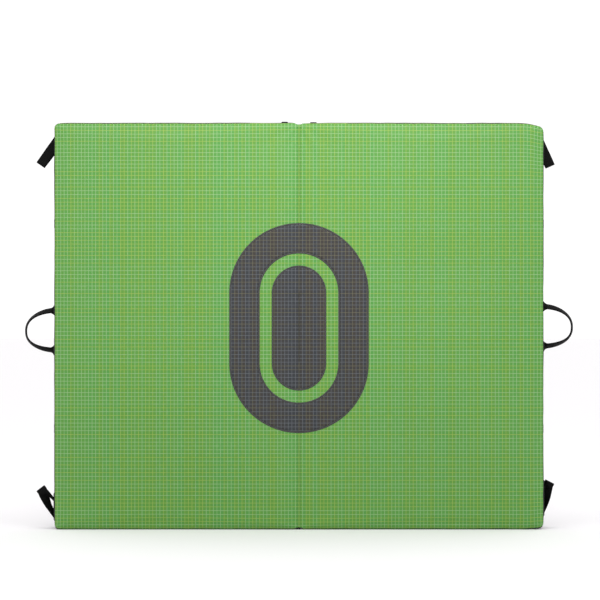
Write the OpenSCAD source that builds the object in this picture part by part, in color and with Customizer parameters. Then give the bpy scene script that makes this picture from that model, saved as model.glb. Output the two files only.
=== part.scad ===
// Folding landing mat for bouldering: two foam-filled halves joined by a fabric hinge, with two
// carry handles, four lashing loops, two closure straps and a backpack harness on one half.
// Millimetres. The open mat stands on its long edge: X runs along it, -Y is the landing side,
// +Z is up, and the origin is on the ground under the middle of the whole object.

/* [Mat] */
// Width of the open mat, both halves together
mat_w = 1220; // [1200:10:1400]
// Height of the standing mat
mat_h = 1014; // [1010:2:1200]
// Thickness of one half
mat_t = 90; // [80:1:110]
// Radius at the corners of each half
corner_r = 12; // [6:1:20]
// Thickness of the shell's panels
shell_t = 1.5; // [1:0.5:2.5]

/* [Foam] */
// Thickness of the closed-cell sheet behind the landing face
sheet_t = 15; // [8:1:25]
// Room between the foam's edges and the shell
foam_gap = 4; // [2:1:8]

/* [Hinge] */
// Gap between the two halves
hinge_gap = 6; // [4:1:10]
// How far in front of the landing face the fold line lies
fold_offset = 5; // [4:1:8]

/* [Emblem] */
// Width of the sewn-on emblem
emblem_w = 344; // [280:2:400]
// Height of the sewn-on emblem
emblem_h = 520; // [440:2:600]
// Width of the emblem's ring
emblem_ring = 72; // [50:2:90]
// Space between the emblem's ring and its middle
emblem_space = 34; // [20:2:40]
// Height of the emblem's middle above the ground
emblem_z = 503; // [450:1:550]
// Thickness of the emblem's fabric
emblem_t = 1; // [0.5:0.5:1.5]

/* [Webbing] */
// Width of the straps
web_w = 25; // [20:1:30]
// Thickness of the straps
web_t = 2.4; // [1.6:0.2:3]

/* [Handles] */
// Distance between a handle's two roots
handle_span = 100; // [90:1:130]
// How far a handle stands out from the mat's edge
handle_reach = 78; // [70:1:100]

/* [Harness] */
// Thickness of the shoulder pads
pad_t = 15.5; // [12:0.5:20]
// Room behind the pads
pad_gap = 3.5; // [3:0.5:5]
// Width of a shoulder pad
pad_w = 64; // [55:1:75]
// Length of a shoulder pad
pad_len = 330; // [300:5:350]
// Height of the shoulder pads' upper seam
yoke_z = 850; // [840:1:870]
// Height of the middle of the hip belt
belt_z = 312; // [310:1:316]

/* [Hidden] */
$fn = 48;

// Colours
face_green = "yellowgreen";
shell_black = [0.11, 0.11, 0.12];
webbing_black = [0.07, 0.07, 0.07];
emblem_grey = "dimgray";
sheet_foam = "lightgray";
core_foam = "khaki";
metal = "silver";
plastic = [0.15, 0.15, 0.16];

// Frame: the object's depth is centred on Y = 0, and one half's depth runs from face_y to back_y.
depth = emblem_t + mat_t + pad_gap + pad_t;
face_y = emblem_t - depth / 2;
back_y = face_y + mat_t;
mid_y = (face_y + back_y) / 2;
edge_x = mat_w / 2;
half_w = (mat_w - hinge_gap) / 2;
half_cx = (edge_x + hinge_gap / 2) / 2;

// Everything sewn to a side edge swings on a stitched root that stands this far off the edge.
patch_t = 1.5;
pivot_off = 5;
pivot_x = edge_x + pivot_off;
root_r = 2.2;
root_w = 1.8;
running_gap = 0.1;

// Handles: height of each handle's middle, by side.
handle_z = [497, 507];
handle_band_t = 4;
handle_twist = 34;

// Lashing loops: height of the root, slope of the strap in degrees and length, by loop.
left_top = [958, -55, 60];
left_bottom = [55, 55, 53];
right_top = [938, -67, 38];
right_bottom = [86, 63, 30];
loop_half_t = 4.5;
loop_space = 5;

// Closure straps and their rings
closure_z = [765, 249];
closure_y = back_y - 16;
strap_reach = 230;
ring_reach = 62;
strap_bend = 7;
strap_y = back_y + 4 + web_t / 2;
bar_r = 2;
fold_bore_r = 2.1;
fold_r = 4.1;
link_arm = 4;
link_t = 3;
link_side = web_w / 2 + 1;
slider_at = 60;
slider_size = [34, 22, 2.4];
slider_slot = 6;
slider_bar = 3.2;

// Harness, on the left half
strap_dx = 80;
pivot_y = back_y + pad_gap + 2.5;
pad_y = back_y + pad_gap;
pad_bottom = yoke_z - pad_len;
lock_y = [back_y + 7, back_y + 12];
lock_h = 30;
lock_slot = 8;
lock_bar = 3.2;
lock_z = pad_bottom - lock_h / 2;
keeper_y = [back_y + 4.2, back_y + 14.8];
lower_y = back_y + 4.5;
tail_y = back_y + 14.5;
tail_l = 46;
harness_hook_z = pad_bottom - 78;
anchor_z = harness_hook_z - 54;
belt_root_dx = 70;
belt_pad = [150, 80, 12];
belt_web_w = 38;
belt_web_l = 20;
belt_y = back_y + 8;
buckle = [46, 46, 12];

// Zips on the backs
zip_z = 965;
zip_l = 420;
zip_h = 26;
zip_t = 1.2;
zip_slider = [16, 12, 5.2];
zip_slider_y = back_y + zip_t + 0.2;
zip_pull_x = half_cx - zip_l / 2 + 20;
zip_pull_y = zip_slider_y + zip_slider[2] + 1.6;
zip_pull_z = zip_z - 2;
zip_pin_r = 1.1;

// --- shared shapes ---

module rounded_rect(w, h, r) {
  square([w - 2 * r, h], center = true);
  square([w, h - 2 * r], center = true);
  for (x = [-1, 1], y = [-1, 1])
    translate([x * (w / 2 - r), y * (h / 2 - r)]) circle(r);
}

// Draws for the right half, or mirrors to the left one.
module on_side(side) {
  if (side < 0) mirror([1, 0, 0]) children();
  else children();
}

// Extrudes an outline drawn in X and Z from y0 to y1.
module across_y(y0, y1) {
  translate([0, y1, 0]) rotate([90, 0, 0]) linear_extrude(height = y1 - y0) children();
}

// Extrudes an outline drawn in X and Y from z0 to z1.
module across_z(z0, z1) {
  translate([0, 0, z0]) linear_extrude(height = z1 - z0) children();
}

// Extrudes an outline drawn in Y and Z from x0 to x1.
module across_x(x0, x1) {
  translate([x0, 0, 0]) rotate([90, 0, 90]) linear_extrude(height = x1 - x0) children();
}

module upright_rod(x, y, z, h, r) {
  translate([x, y, z - h / 2]) cylinder(r = r, h = h);
}

// --- shell and foam of one half, drawn as the right one ---

module half_outline(inset) {
  translate([half_cx, mat_h / 2])
    rounded_rect(half_w - 2 * inset, mat_h - 2 * inset, max(corner_r - inset, 3));
}

module face_cover() {
  color(face_green) across_y(face_y, face_y + shell_t) half_outline(0);
}

module gusset() {
  color(shell_black) across_y(face_y + shell_t, back_y - shell_t)
    difference() {
      half_outline(0);
      half_outline(shell_t);
    }
}

module back_cover() {
  color(shell_black) across_y(back_y - shell_t, back_y) half_outline(0);
}

module landing_foam() {
  color(sheet_foam) across_y(face_y + shell_t, face_y + shell_t + sheet_t)
    half_outline(shell_t + foam_gap);
}

module core_foam() {
  color(core_foam) across_y(face_y + shell_t + sheet_t, back_y - shell_t)
    half_outline(shell_t + foam_gap);
}

// The strip of the landing face's fabric that bridges the two halves.
module hinge_web() {
  color(face_green) across_y(face_y, face_y + shell_t)
    translate([-hinge_gap / 2, corner_r]) square([hinge_gap, mat_h - 2 * corner_r]);
}

// A webbing tape that binds the end of the hinge's seam over the top edge.
module hinge_tab() {
  tab_x = 28;
  tab_w = 16;
  color(webbing_black) translate([tab_x, face_y + 8, mat_h]) cube([tab_w, mat_t - 16, patch_t]);
}

// --- emblem: a ring and a middle, both with round ends ---

module capsule(w, h) {
  square([w, h - w], center = true);
  for (end = [-1, 1]) translate([0, end * (h - w) / 2]) circle(w / 2, $fn = 96);
}

module emblem_outline() {
  inner = emblem_ring + emblem_space;
  difference() {
    capsule(emblem_w, emblem_h);
    capsule(emblem_w - 2 * emblem_ring, emblem_h - 2 * emblem_ring);
  }
  capsule(emblem_w - 2 * inner, emblem_h - 2 * inner);
}

module emblem() {
  color(emblem_grey) across_y(face_y - emblem_t, face_y)
    intersection() {
      translate([0, emblem_z]) emblem_outline();
      translate([hinge_gap / 2, 0]) square([half_w, mat_h]);
    }
}

// --- tabs sewn to the edge, each with a fin that reaches the root of what swings on it ---

module edge_tab(z, y, h, reach_y) {
  translate([edge_x, y - reach_y / 2, z - h / 2]) cube([patch_t, reach_y, h]);
  fin = pivot_off - patch_t - root_r - running_gap;
  translate([edge_x + patch_t, y - 1.2, z - h / 2]) cube([fin, 2.4, h]);
}

module handle_tabs(z) {
  color(webbing_black)
    for (end = [-1, 1]) edge_tab(z + end * handle_span / 2, mid_y, web_w, 40);
}

module loop_tabs(loops) {
  color(webbing_black)
    for (l = loops) edge_tab(l[0], mid_y, web_w / cos(l[1]), 20);
}

module closure_tabs() {
  color(webbing_black)
    for (z = closure_z) edge_tab(z, closure_y, web_w, 30);
}

// --- handles: webbing that leaves the edge upright and twists flat for the hand ---

module handle_root(z) {
  upright_rod(pivot_x, mid_y, z, web_w, root_r);
  across_y(mid_y - root_w, mid_y + root_w)
    translate([pivot_x, z])
      polygon([[0, -web_w / 2], [handle_twist / 2, -handle_band_t / 2],
               [handle_twist / 2, handle_band_t / 2], [0, web_w / 2]]);
}

module handle_grip_outline(grow) {
  bend_r = handle_span / 2 + grow;
  bend_x = handle_reach - pivot_off - handle_span / 2 - handle_band_t / 2;
  translate([bend_x, 0]) circle(bend_r);
  translate([0, -bend_r]) square([bend_x, 2 * bend_r]);
}

module handle(z) {
  color(webbing_black) {
    for (end = [-1, 1]) handle_root(z + end * handle_span / 2);
    intersection() {
      across_y(mid_y - web_w / 2, mid_y + web_w / 2)
        translate([pivot_x, z])
          difference() {
            handle_grip_outline(handle_band_t / 2);
            handle_grip_outline(-handle_band_t / 2);
          }
      across_z(z - handle_span, z + handle_span)
        translate([pivot_x, mid_y])
          polygon([[0, -root_w], [handle_twist, -web_w / 2], [handle_reach, -web_w / 2],
                   [handle_reach, web_w / 2], [handle_twist, web_w / 2], [0, root_w]]);
    }
  }
}

// --- lashing loops: a strap folded double, with the space between its layers left open ---

module lashing_loop(loop) {
  z = loop[0];
  slope = loop[1];
  length = loop[2];
  far = 200;
  color(webbing_black) {
    upright_rod(pivot_x, mid_y, z, web_w / cos(slope), root_r);
    difference() {
      intersection() {
        across_y(mid_y - loop_half_t, mid_y + loop_half_t)
          translate([pivot_x, z]) rotate(slope)
            translate([-far, -web_w / 2]) square([far + length, web_w]);
        across_z(z - far, z + far)
          translate([pivot_x, mid_y])
            polygon([[0, -root_w], [8, -loop_half_t], [far, -loop_half_t],
                     [far, loop_half_t], [8, loop_half_t], [0, root_w]]);
      }
      across_y(mid_y - loop_space / 2, mid_y + loop_space / 2)
        intersection() {
          translate([pivot_x, z]) rotate(slope)
            translate([-far, -far]) square([far + length - 2, 2 * far]);
          translate([pivot_x + 9, z - far]) square([far, 2 * far]);
        }
    }
  }
}

// --- closure straps, rings and hooks ---

// A strap that runs from its root on the edge, round the back corner and along the back.
module corner_strap(z, reach) {
  inner_r = strap_bend - web_t / 2;
  color(webbing_black) {
    upright_rod(pivot_x, closure_y, z, web_w, root_r);
    difference() {
      across_z(z - web_w / 2, z + web_w / 2) {
        translate([pivot_x - web_t / 2, closure_y])
          square([web_t, strap_y - strap_bend - closure_y]);
        translate([pivot_x - reach, strap_y - web_t / 2]) square([reach - strap_bend, web_t]);
        translate([pivot_x - strap_bend, strap_y - strap_bend])
          intersection() {
            difference() {
              circle(inner_r + web_t);
              circle(inner_r);
            }
            square(2 * strap_bend);
          }
        translate([pivot_x - reach, strap_y]) circle(fold_r);
      }
      upright_rod(pivot_x - reach, strap_y, z, web_w + 2, fold_bore_r);
    }
  }
}

// The turn of webbing that passes over a slider's middle bar.
module slider_turn(z) {
  inner = slider_bar / 2 + 0.2;
  outer = inner + 1.6;
  y0 = strap_y + web_t / 2;
  top = y0 + slider_size[2] + 0.2;
  color(webbing_black)
    across_z(z - web_w / 2, z + web_w / 2)
      translate([pivot_x - strap_reach + slider_at, 0])
        difference() {
          translate([-outer, y0]) square([2 * outer, top + 1.6 - y0]);
          translate([-inner, y0]) square([2 * inner, top - y0]);
        }
}

module closure_strap(z) {
  corner_strap(z, strap_reach);
  slider_turn(z);
}

// Two arms and a cross bar around a folded strap end, drawn in X and Z from the pivot at 0, 0.
module link_outline(length) {
  side = link_side + link_arm;
  for (end = [-1, 1])
    translate([-length, end > 0 ? link_side : -side]) square([length + bar_r, link_arm]);
  translate([-length, -side]) square([link_arm, 2 * side]);
}

module closure_ring(z) {
  x = pivot_x - ring_reach;
  color(metal) {
    upright_rod(x, strap_y, z, 2 * (link_side + link_arm), bar_r);
    across_y(strap_y - link_t / 2, strap_y + link_t / 2)
      translate([x, z]) link_outline(26);
  }
}

// A flat hook: the link that holds the strap, then an open jaw.
module hook_outline() {
  side = link_side + link_arm;
  link = 18;
  jaw = 42;
  link_outline(link);
  difference() {
    translate([-jaw, -side]) square([jaw - link + link_arm, 2 * side]);
    translate([-jaw + 5, -side + 5]) square([jaw - link - 5, 2 * side - 10]);
    translate([-jaw + 5, side - 6]) square([8, 8]);
  }
}

module closure_hook(z) {
  x = pivot_x - strap_reach;
  color(metal) {
    upright_rod(x, strap_y, z, 2 * (link_side + link_arm), bar_r);
    across_y(strap_y - link_t / 2, strap_y + link_t / 2) translate([x, z]) hook_outline();
  }
}

// A frame with two slots and a middle bar between them.
module three_bar(w, h, slot_w, slot_h, bar) {
  difference() {
    rounded_rect(w, h, 2);
    for (end = [-1, 1])
      translate([0, end * (slot_h + bar) / 2]) square([slot_w, slot_h], center = true);
  }
}

module strap_slider(z) {
  color(plastic) across_y(strap_y + web_t / 2, strap_y + web_t / 2 + slider_size[2])
    translate([pivot_x - strap_reach + slider_at, z]) rotate(90)
      three_bar(slider_size[0], slider_size[1], web_w + 1.5, slider_slot, slider_bar);
}

// --- harness on the left half ---

module shoulder_x(side) {
  translate([-half_cx + side * strap_dx, 0, 0]) children();
}

module harness_yoke() {
  color(shell_black) {
    across_y(back_y, back_y + 2) translate([-half_cx, yoke_z + 25]) rounded_rect(250, 80, 10);
    for (side = [-1, 1])
      shoulder_x(side)
        translate([-30, back_y + 2, yoke_z - 1.5])
          cube([60, pad_gap + 2.5 - root_r - 2 - running_gap, 3]);
  }
}

module shoulder_pad(side) {
  color(shell_black) shoulder_x(side) {
    translate([-30, pivot_y, yoke_z]) rotate([0, 90, 0]) cylinder(r = root_r, h = 60);
    translate([-30, pivot_y - root_r, yoke_z - 20]) cube([60, 2 * root_r, 20]);
    across_y(pad_y, pad_y + pad_t)
      translate([0, (yoke_z - 12 + pad_bottom + 10) / 2])
        rounded_rect(pad_w, pad_len - 22, 14);
    lock_keeper();
  }
}

// The turn of webbing that holds the ladder lock's upper bar to the pad.
module lock_keeper() {
  keeper_z = lock_z + lock_bar / 2 + 3;
  thick = 2.2;
  across_x(-web_w / 2, web_w / 2)
    difference() {
      translate([keeper_y[0], keeper_z])
        square([keeper_y[1] - keeper_y[0], pad_bottom + 12 - keeper_z]);
      translate([keeper_y[0] + thick, keeper_z + thick])
        square([keeper_y[1] - keeper_y[0] - 2 * thick, pad_bottom + 9 - keeper_z - thick]);
    }
}

module ladder_lock(side) {
  color(plastic) shoulder_x(side)
    across_y(lock_y[0], lock_y[1])
      translate([0, lock_z]) three_bar(35, lock_h, web_w + 2, lock_slot, lock_bar);
}

// Webbing that comes up behind the ladder lock, passes through it and hangs in front as a tail.
module harness_webbing(side) {
  top_z = lock_z - lock_bar / 2 - 2.8;
  color(webbing_black) shoulder_x(side) {
    difference() {
      union() {
        across_x(-web_w / 2, web_w / 2) {
          translate([lower_y - web_t / 2, harness_hook_z]) square([web_t, top_z - harness_hook_z]);
          translate([lower_y - web_t / 2, top_z - web_t])
            square([tail_y - lower_y + web_t, web_t]);
          translate([tail_y - web_t / 2, top_z - tail_l]) square([web_t, tail_l]);
        }
        translate([-web_w / 2, lower_y, harness_hook_z]) rotate([0, 90, 0])
          cylinder(r = fold_bore_r + 1.3, h = web_w);
      }
      translate([-web_w, lower_y, harness_hook_z]) rotate([0, 90, 0])
        cylinder(r = fold_bore_r, h = 2 * web_w);
    }
  }
}

module harness_hook(side) {
  reach = link_side + link_arm;
  color(metal) shoulder_x(side) {
    translate([-reach, lower_y, harness_hook_z]) rotate([0, 90, 0])
      cylinder(r = bar_r, h = 2 * reach);
    across_y(lower_y - link_t / 2, lower_y + link_t / 2)
      translate([0, harness_hook_z]) rotate(90) hook_outline();
  }
}

// Two bridges of webbing, sewn down at both ends, for the harness's hooks.
module harness_anchors() {
  color(webbing_black)
    for (side = [-1, 1])
      shoulder_x(side)
        across_z(anchor_z - 8, anchor_z + 8)
          difference() {
            polygon([[-28, back_y], [28, back_y], [28, back_y + 2], [18, back_y + 2],
                     [13, back_y + 8], [-13, back_y + 8], [-18, back_y + 2],
                     [-28, back_y + 2]]);
            polygon([[-15, back_y], [15, back_y], [11, back_y + 6], [-11, back_y + 6]]);
          }
}

module lumbar_patch() {
  color(shell_black) {
    across_y(back_y, back_y + 2)
      translate([-half_cx, belt_z]) rounded_rect(2 * belt_root_dx + 12, 84, 10);
    for (side = [-1, 1])
      translate([-half_cx + side * belt_root_dx, 0, 0])
        translate([-1.5, back_y, belt_z - 35])
          cube([3, pivot_y - root_r - running_gap - back_y, 70]);
  }
}

// Places what is drawn along +X from the belt's root on the named side of the lumbar patch.
module belt_side(side) {
  translate([-half_cx + side * belt_root_dx, 0, 0]) on_side(side) children();
}

module belt_wing(side) {
  color(shell_black) belt_side(side) {
    upright_rod(0, pivot_y, belt_z, 70, root_r);
    translate([0, pivot_y - root_r, belt_z - 35]) cube([16, 2 * root_r, 70]);
    across_y(pad_y, pad_y + belt_pad[2])
      translate([12 + belt_pad[0] / 2, belt_z]) rounded_rect(belt_pad[0], belt_pad[1], 16);
  }
}

belt_end = 12 + belt_pad[0];

module belt_webbing(side) {
  color(webbing_black) belt_side(side)
    translate([belt_end, belt_y - web_t / 2, belt_z - belt_web_w / 2])
      cube([belt_web_l, web_t, belt_web_w]);
}

module buckle_body(side) {
  belt_side(side)
    translate([belt_end + belt_web_l, belt_y, belt_z]) children();
}

// The socket half of a side-release buckle, open at its far end and at both sides.
module buckle_socket() {
  w = buckle[0];
  h = buckle[1];
  t = buckle[2];
  color(plastic) buckle_body(-1)
    difference() {
      across_y(-t / 2 + 2, t / 2 + 2) translate([w / 2, 0]) rounded_rect(w, h, 5);
      translate([12, -t / 2 + 4, -h / 2 + 5]) cube([w, t - 4, h - 10]);
      translate([18, -t / 2 + 4, -h]) cube([14, t - 4, 2 * h]);
    }
}

// The plug half: a base, a guide tongue and two springy prongs.
module buckle_plug() {
  color(plastic) buckle_body(1) {
    across_y(-4, 4) translate([9, 0]) rounded_rect(18, buckle[1], 4);
    translate([16, -2.5, -4]) cube([24, 5, 8]);
    for (end = [-1, 1])
      across_y(-2.5, 2.5)
        polygon([[16, end * 10], [42, end * 12], [44, end * 15], [36, end * 19],
                 [34, end * 16], [16, end * 15]]);
  }
}

// --- zips for changing the foam ---

module zip_tape() {
  color(webbing_black) across_y(back_y, back_y + zip_t)
    translate([half_cx, zip_z]) rounded_rect(zip_l, zip_h, 3);
}

// The slider, with two lugs that hold the pull's pin.
module zip_slider_body() {
  top = zip_slider_y + zip_slider[2];
  lug_r = zip_pin_r + 1;
  color(metal) {
    across_y(zip_slider_y, top)
      translate([zip_pull_x, zip_z]) rounded_rect(zip_slider[0], zip_slider[1], 3);
    difference() {
      for (end = [-1, 1])
        translate([zip_pull_x + end * 4.5 - 1, top - 0.5, zip_pull_z - lug_r])
          cube([2, zip_pull_y + lug_r - top + 0.5, 2 * lug_r]);
      translate([zip_pull_x - 8, zip_pull_y, zip_pull_z]) rotate([0, 90, 0])
        cylinder(r = zip_pin_r + 0.1, h = 16);
    }
  }
}

module zip_pull() {
  color(metal) {
    translate([zip_pull_x - 6, zip_pull_y, zip_pull_z]) rotate([0, 90, 0])
      cylinder(r = zip_pin_r, h = 12);
    across_y(zip_pull_y - 0.9, zip_pull_y + 0.9) {
      translate([zip_pull_x - 3, zip_pull_z - 10]) square([6, 10]);
      difference() {
        translate([zip_pull_x, zip_pull_z - 19]) rounded_rect(9, 24, 2);
        translate([zip_pull_x, zip_pull_z - 26]) circle(2);
      }
    }
  }
}

// --- nodes ---

on_side(-1) face_cover();  // left_face_cover
on_side(-1) gusset();  // left_gusset
on_side(-1) back_cover();  // left_back_cover
on_side(-1) landing_foam();  // left_landing_foam
on_side(-1) core_foam();  // left_core_foam
on_side(-1) emblem();  // left_emblem
on_side(-1) handle_tabs(handle_z[0]);  // left_handle_tabs
on_side(-1) loop_tabs([left_top, left_bottom]);  // left_loop_tabs
on_side(-1) closure_tabs();  // left_closure_tabs
on_side(-1) hinge_tab();  // left_hinge_tab
on_side(-1) zip_tape();  // left_zip
hinge_web();
harness_yoke();
lumbar_patch();
harness_anchors();
face_cover();  // right_face_cover
gusset();  // right_gusset
back_cover();  // right_back_cover
landing_foam();  // right_landing_foam
core_foam();  // right_core_foam
emblem();  // right_emblem
handle_tabs(handle_z[1]);  // right_handle_tabs
loop_tabs([right_top, right_bottom]);  // right_loop_tabs
closure_tabs();  // right_closure_tabs
hinge_tab();  // right_hinge_tab
zip_tape();  // right_zip
on_side(-1) handle(handle_z[0]);  // left_handle
handle(handle_z[1]);  // right_handle
on_side(-1) lashing_loop(left_top);  // left_top_loop
on_side(-1) lashing_loop(left_bottom);  // left_bottom_loop
lashing_loop(right_top);  // right_top_loop
lashing_loop(right_bottom);  // right_bottom_loop
closure_strap(closure_z[0]);  // closure_strap_upper
closure_strap(closure_z[1]);  // closure_strap_lower
strap_slider(closure_z[0]);  // strap_slider_upper
strap_slider(closure_z[1]);  // strap_slider_lower
closure_hook(closure_z[0]);  // closure_hook_upper
closure_hook(closure_z[1]);  // closure_hook_lower
on_side(-1) corner_strap(closure_z[0], ring_reach);  // ring_loop_upper
on_side(-1) corner_strap(closure_z[1], ring_reach);  // ring_loop_lower
on_side(-1) closure_ring(closure_z[0]);  // closure_ring_upper
on_side(-1) closure_ring(closure_z[1]);  // closure_ring_lower
shoulder_pad(-1);  // shoulder_pad_left
shoulder_pad(1);  // shoulder_pad_right
ladder_lock(-1);  // ladder_lock_left
ladder_lock(1);  // ladder_lock_right
harness_webbing(-1);  // harness_webbing_left
harness_webbing(1);  // harness_webbing_right
harness_hook(-1);  // harness_hook_left
harness_hook(1);  // harness_hook_right
belt_wing(-1);  // belt_wing_left
belt_wing(1);  // belt_wing_right
belt_webbing(-1);  // belt_webbing_left
belt_webbing(1);  // belt_webbing_right
buckle_socket();
buckle_plug();
on_side(-1) zip_slider_body();  // left_zip_slider
zip_slider_body();  // right_zip_slider
on_side(-1) zip_pull();  // left_zip_pull
zip_pull();  // right_zip_pull
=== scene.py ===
"""The looks of the folding landing mat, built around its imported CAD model.

Metres throughout. X runs along the open mat, -Y is the landing side, +Y the harness side, +Z is up.
Each fabric piece carries a UV map named "cloth" that holds its flat coordinates in metres, so
weaves, grids and seams have their real scale and stay put when the mat folds.
"""
import math

import bmesh
import bpy
import numpy as np
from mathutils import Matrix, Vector
from mathutils.bvhtree import BVHTree


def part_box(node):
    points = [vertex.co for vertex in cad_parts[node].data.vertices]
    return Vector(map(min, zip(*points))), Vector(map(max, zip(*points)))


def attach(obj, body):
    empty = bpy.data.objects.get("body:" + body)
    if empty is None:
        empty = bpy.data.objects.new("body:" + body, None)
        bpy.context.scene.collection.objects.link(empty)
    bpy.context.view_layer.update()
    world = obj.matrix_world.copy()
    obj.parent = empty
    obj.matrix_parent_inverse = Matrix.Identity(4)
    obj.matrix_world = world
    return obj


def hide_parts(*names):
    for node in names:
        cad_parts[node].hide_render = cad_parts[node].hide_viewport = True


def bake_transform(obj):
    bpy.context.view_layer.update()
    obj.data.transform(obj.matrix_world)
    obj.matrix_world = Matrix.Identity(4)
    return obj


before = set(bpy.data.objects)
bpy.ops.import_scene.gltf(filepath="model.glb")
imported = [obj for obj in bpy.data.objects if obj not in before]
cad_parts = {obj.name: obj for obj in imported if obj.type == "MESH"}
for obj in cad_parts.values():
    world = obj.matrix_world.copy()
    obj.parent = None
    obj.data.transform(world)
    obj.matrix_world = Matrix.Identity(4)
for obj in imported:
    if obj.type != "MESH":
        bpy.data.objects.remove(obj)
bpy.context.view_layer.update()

MM = 0.001


def center_of(name):
    """The middle (x, y, z) of a CAD node's box."""
    return [(low + high) / 2 for low, high in zip(*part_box(name))]


# --- sizes, read from the frame ---

face_lo, face_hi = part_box("left_face_cover")
FACE_Y = face_lo.y
BACK_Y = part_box("left_back_cover")[1].y
MID_Y = (FACE_Y + BACK_Y) / 2
MAT_T = BACK_Y - FACE_Y
MAT_H = face_hi.z
EDGE_X = -face_lo.x
GAP_X = -face_hi.x
HALF_W = EDGE_X - GAP_X
ZIP_Z = center_of("left_zip")[2]

RIM = 6 * MM                # radius of the soft edge between a panel and the gusset
OUTER_CORNER = 12 * MM      # corner radius at the mat's outer edges
INNER_CORNER = 9 * MM       # corner radius beside the hinge
CLOTH_T = 1.1 * MM          # thickness of the shell's fabric
FACE_CROWN = 2.4 * MM       # most that the landing face bulges
BACK_CROWN = 0.9 * MM       # most that the back bulges
GUSSET_CROWN = 2.6 * MM     # most that a gusset bulges
SEAM_DEPTH = 0.9 * MM       # how far a seam's groove lies inside the gusset
GROOVE_Y = RIM + 0.8 * MM   # how far behind the panel's face the groove is
# how high the fabric's waves, puckers and creases are, in mm
BIG_WAVE, SMALL_WAVE, RAY, FOLD, HINGE_DIP = 0.9, 0.45, 1.3, 1.1, 1.6
FRONT_PUCKER, BACK_PUCKER, GUSSET_WAVE, GUSSET_RIPPLE = 0.55, 1.0, 0.8, 0.6
ARC_EXTRA = 0.57            # how much longer a quarter arc is than its radius, as a share of it


# --- camera, light and floor ---

def studio():
    """A level long-lens camera in front of the mat, a white floor and soft light from above."""
    cam_data = bpy.data.cameras.new("camera")
    cam = bpy.data.objects.new("camera", cam_data)
    bpy.context.scene.collection.objects.link(cam)
    distance, height, off_center = 6.0, 0.573, 2.5 * MM
    seen_width = 1.497
    cam.location = (off_center, FACE_Y - distance, height)
    cam.rotation_euler = (math.pi / 2, 0, 0)
    cam_data.sensor_width = 36
    cam_data.lens = cam_data.sensor_width * distance / seen_width
    cam_data.clip_end = 100
    bpy.context.scene.camera = cam

    world = bpy.data.worlds.new("studio")
    bpy.context.scene.world = world
    world.use_nodes = True
    background = world.node_tree.nodes["Background"]
    background.inputs["Color"].default_value = (1, 1, 1, 1)
    background.inputs["Strength"].default_value = 1.1

    bpy.ops.mesh.primitive_plane_add(size=60, location=(0, 0, 0))
    floor = bpy.context.object
    floor.name = "floor"
    paint = bpy.data.materials.new("floor_white")
    paint.use_nodes = True
    shader = paint.node_tree.nodes["Principled BSDF"]
    shader.inputs["Base Color"].default_value = (0.9, 0.885, 0.9, 1)
    shader.inputs["Roughness"].default_value = 0.9
    floor.data.materials.append(paint)

    def area(name, at, toward, size, power, spread=180):
        data = bpy.data.lights.new(name, "AREA")
        data.shape = "RECTANGLE"
        data.size, data.size_y = size
        data.energy = power
        data.spread = math.radians(spread)
        lamp = bpy.data.objects.new(name, data)
        bpy.context.scene.collection.objects.link(lamp)
        lamp.location = at
        aim = Vector(toward) - Vector(at)
        lamp.rotation_euler = aim.to_track_quat("-Z", "Y").to_euler()

    area("overhead", (0.1, -0.95, 2.5), (0.05, -0.35, 0), (3.2, 1.5), 14)
    area("upper_front", (0.1, -2.4, 2.0), (0.05, 0, 1.05), (1.4, 0.5), 3, 42)
    bpy.context.scene.view_settings.view_transform = "Standard"


studio()


# --- mesh helpers ---

def make_object(name, points, faces, uvs=None, material=None):
    """A smooth mesh object. uvs holds one (u, v) for each face corner, in the faces' order."""
    mesh = bpy.data.meshes.new(name)
    mesh.from_pydata(np.asarray(points, float).tolist(), [], [list(map(int, f)) for f in faces])
    if uvs is not None:
        layer = mesh.uv_layers.new(name="cloth")
        layer.data.foreach_set("uv", np.asarray(uvs, float).ravel())
    mesh.polygons.foreach_set("use_smooth", [True] * len(mesh.polygons))
    obj = bpy.data.objects.new(name, mesh)
    bpy.context.scene.collection.objects.link(obj)
    if material:
        obj.data.materials.append(material)
    return obj


def grid_quads(rows, cols, close_rows=False, close_cols=False):
    """Quads of a grid of points, and the matching quads of its grid of UVs, which has one more
    row or column where the points close on themselves."""
    r = np.arange(rows - 1 + close_rows)
    c = np.arange(cols - 1 + close_cols)
    i, j = np.meshgrid(r, c, indexing="ij")
    corners = [(i, j), (i + 1, j), (i + 1, j + 1), (i, j + 1)]
    points = [(a % rows) * cols + b % cols for a, b in corners]
    uv_cols = cols + close_cols
    uvs = [a * uv_cols + b for a, b in corners]
    return (np.stack(points, -1).reshape(-1, 4), np.stack(uvs, -1).reshape(-1, 4))


def grid_part(points, uvs, close_rows=False, close_cols=False, flip=False):
    """(points, faces, uvs per corner) of a grid, ready for joined()."""
    rows, cols = points.shape[:2]
    quads, uv_quads = grid_quads(rows, cols, close_rows, close_cols)
    if flip:
        quads, uv_quads = quads[:, ::-1], uv_quads[:, ::-1]
    flat_uv = np.asarray(uvs, float).reshape(-1, 2)
    return points.reshape(-1, 3), quads.tolist(), flat_uv[uv_quads.ravel()]


def joined(name, parts, material):
    """One object from several (points, faces, uvs) parts."""
    points, faces, uvs, start = [], [], [], 0
    for p, f, u in parts:
        points.append(p)
        faces += [[v + start for v in face] for face in f]
        uvs.append(u)
        start += len(p)
    return make_object(name, np.vstack(points), faces, np.vstack(uvs), material)


def weld(obj, distance):
    """Joins points that lie on each other."""
    mesh = bmesh.new()
    mesh.from_mesh(obj.data)
    bmesh.ops.remove_doubles(mesh, verts=mesh.verts, dist=distance)
    bmesh.ops.recalc_face_normals(mesh, faces=mesh.faces)
    mesh.to_mesh(obj.data)
    mesh.free()
    return obj


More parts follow.
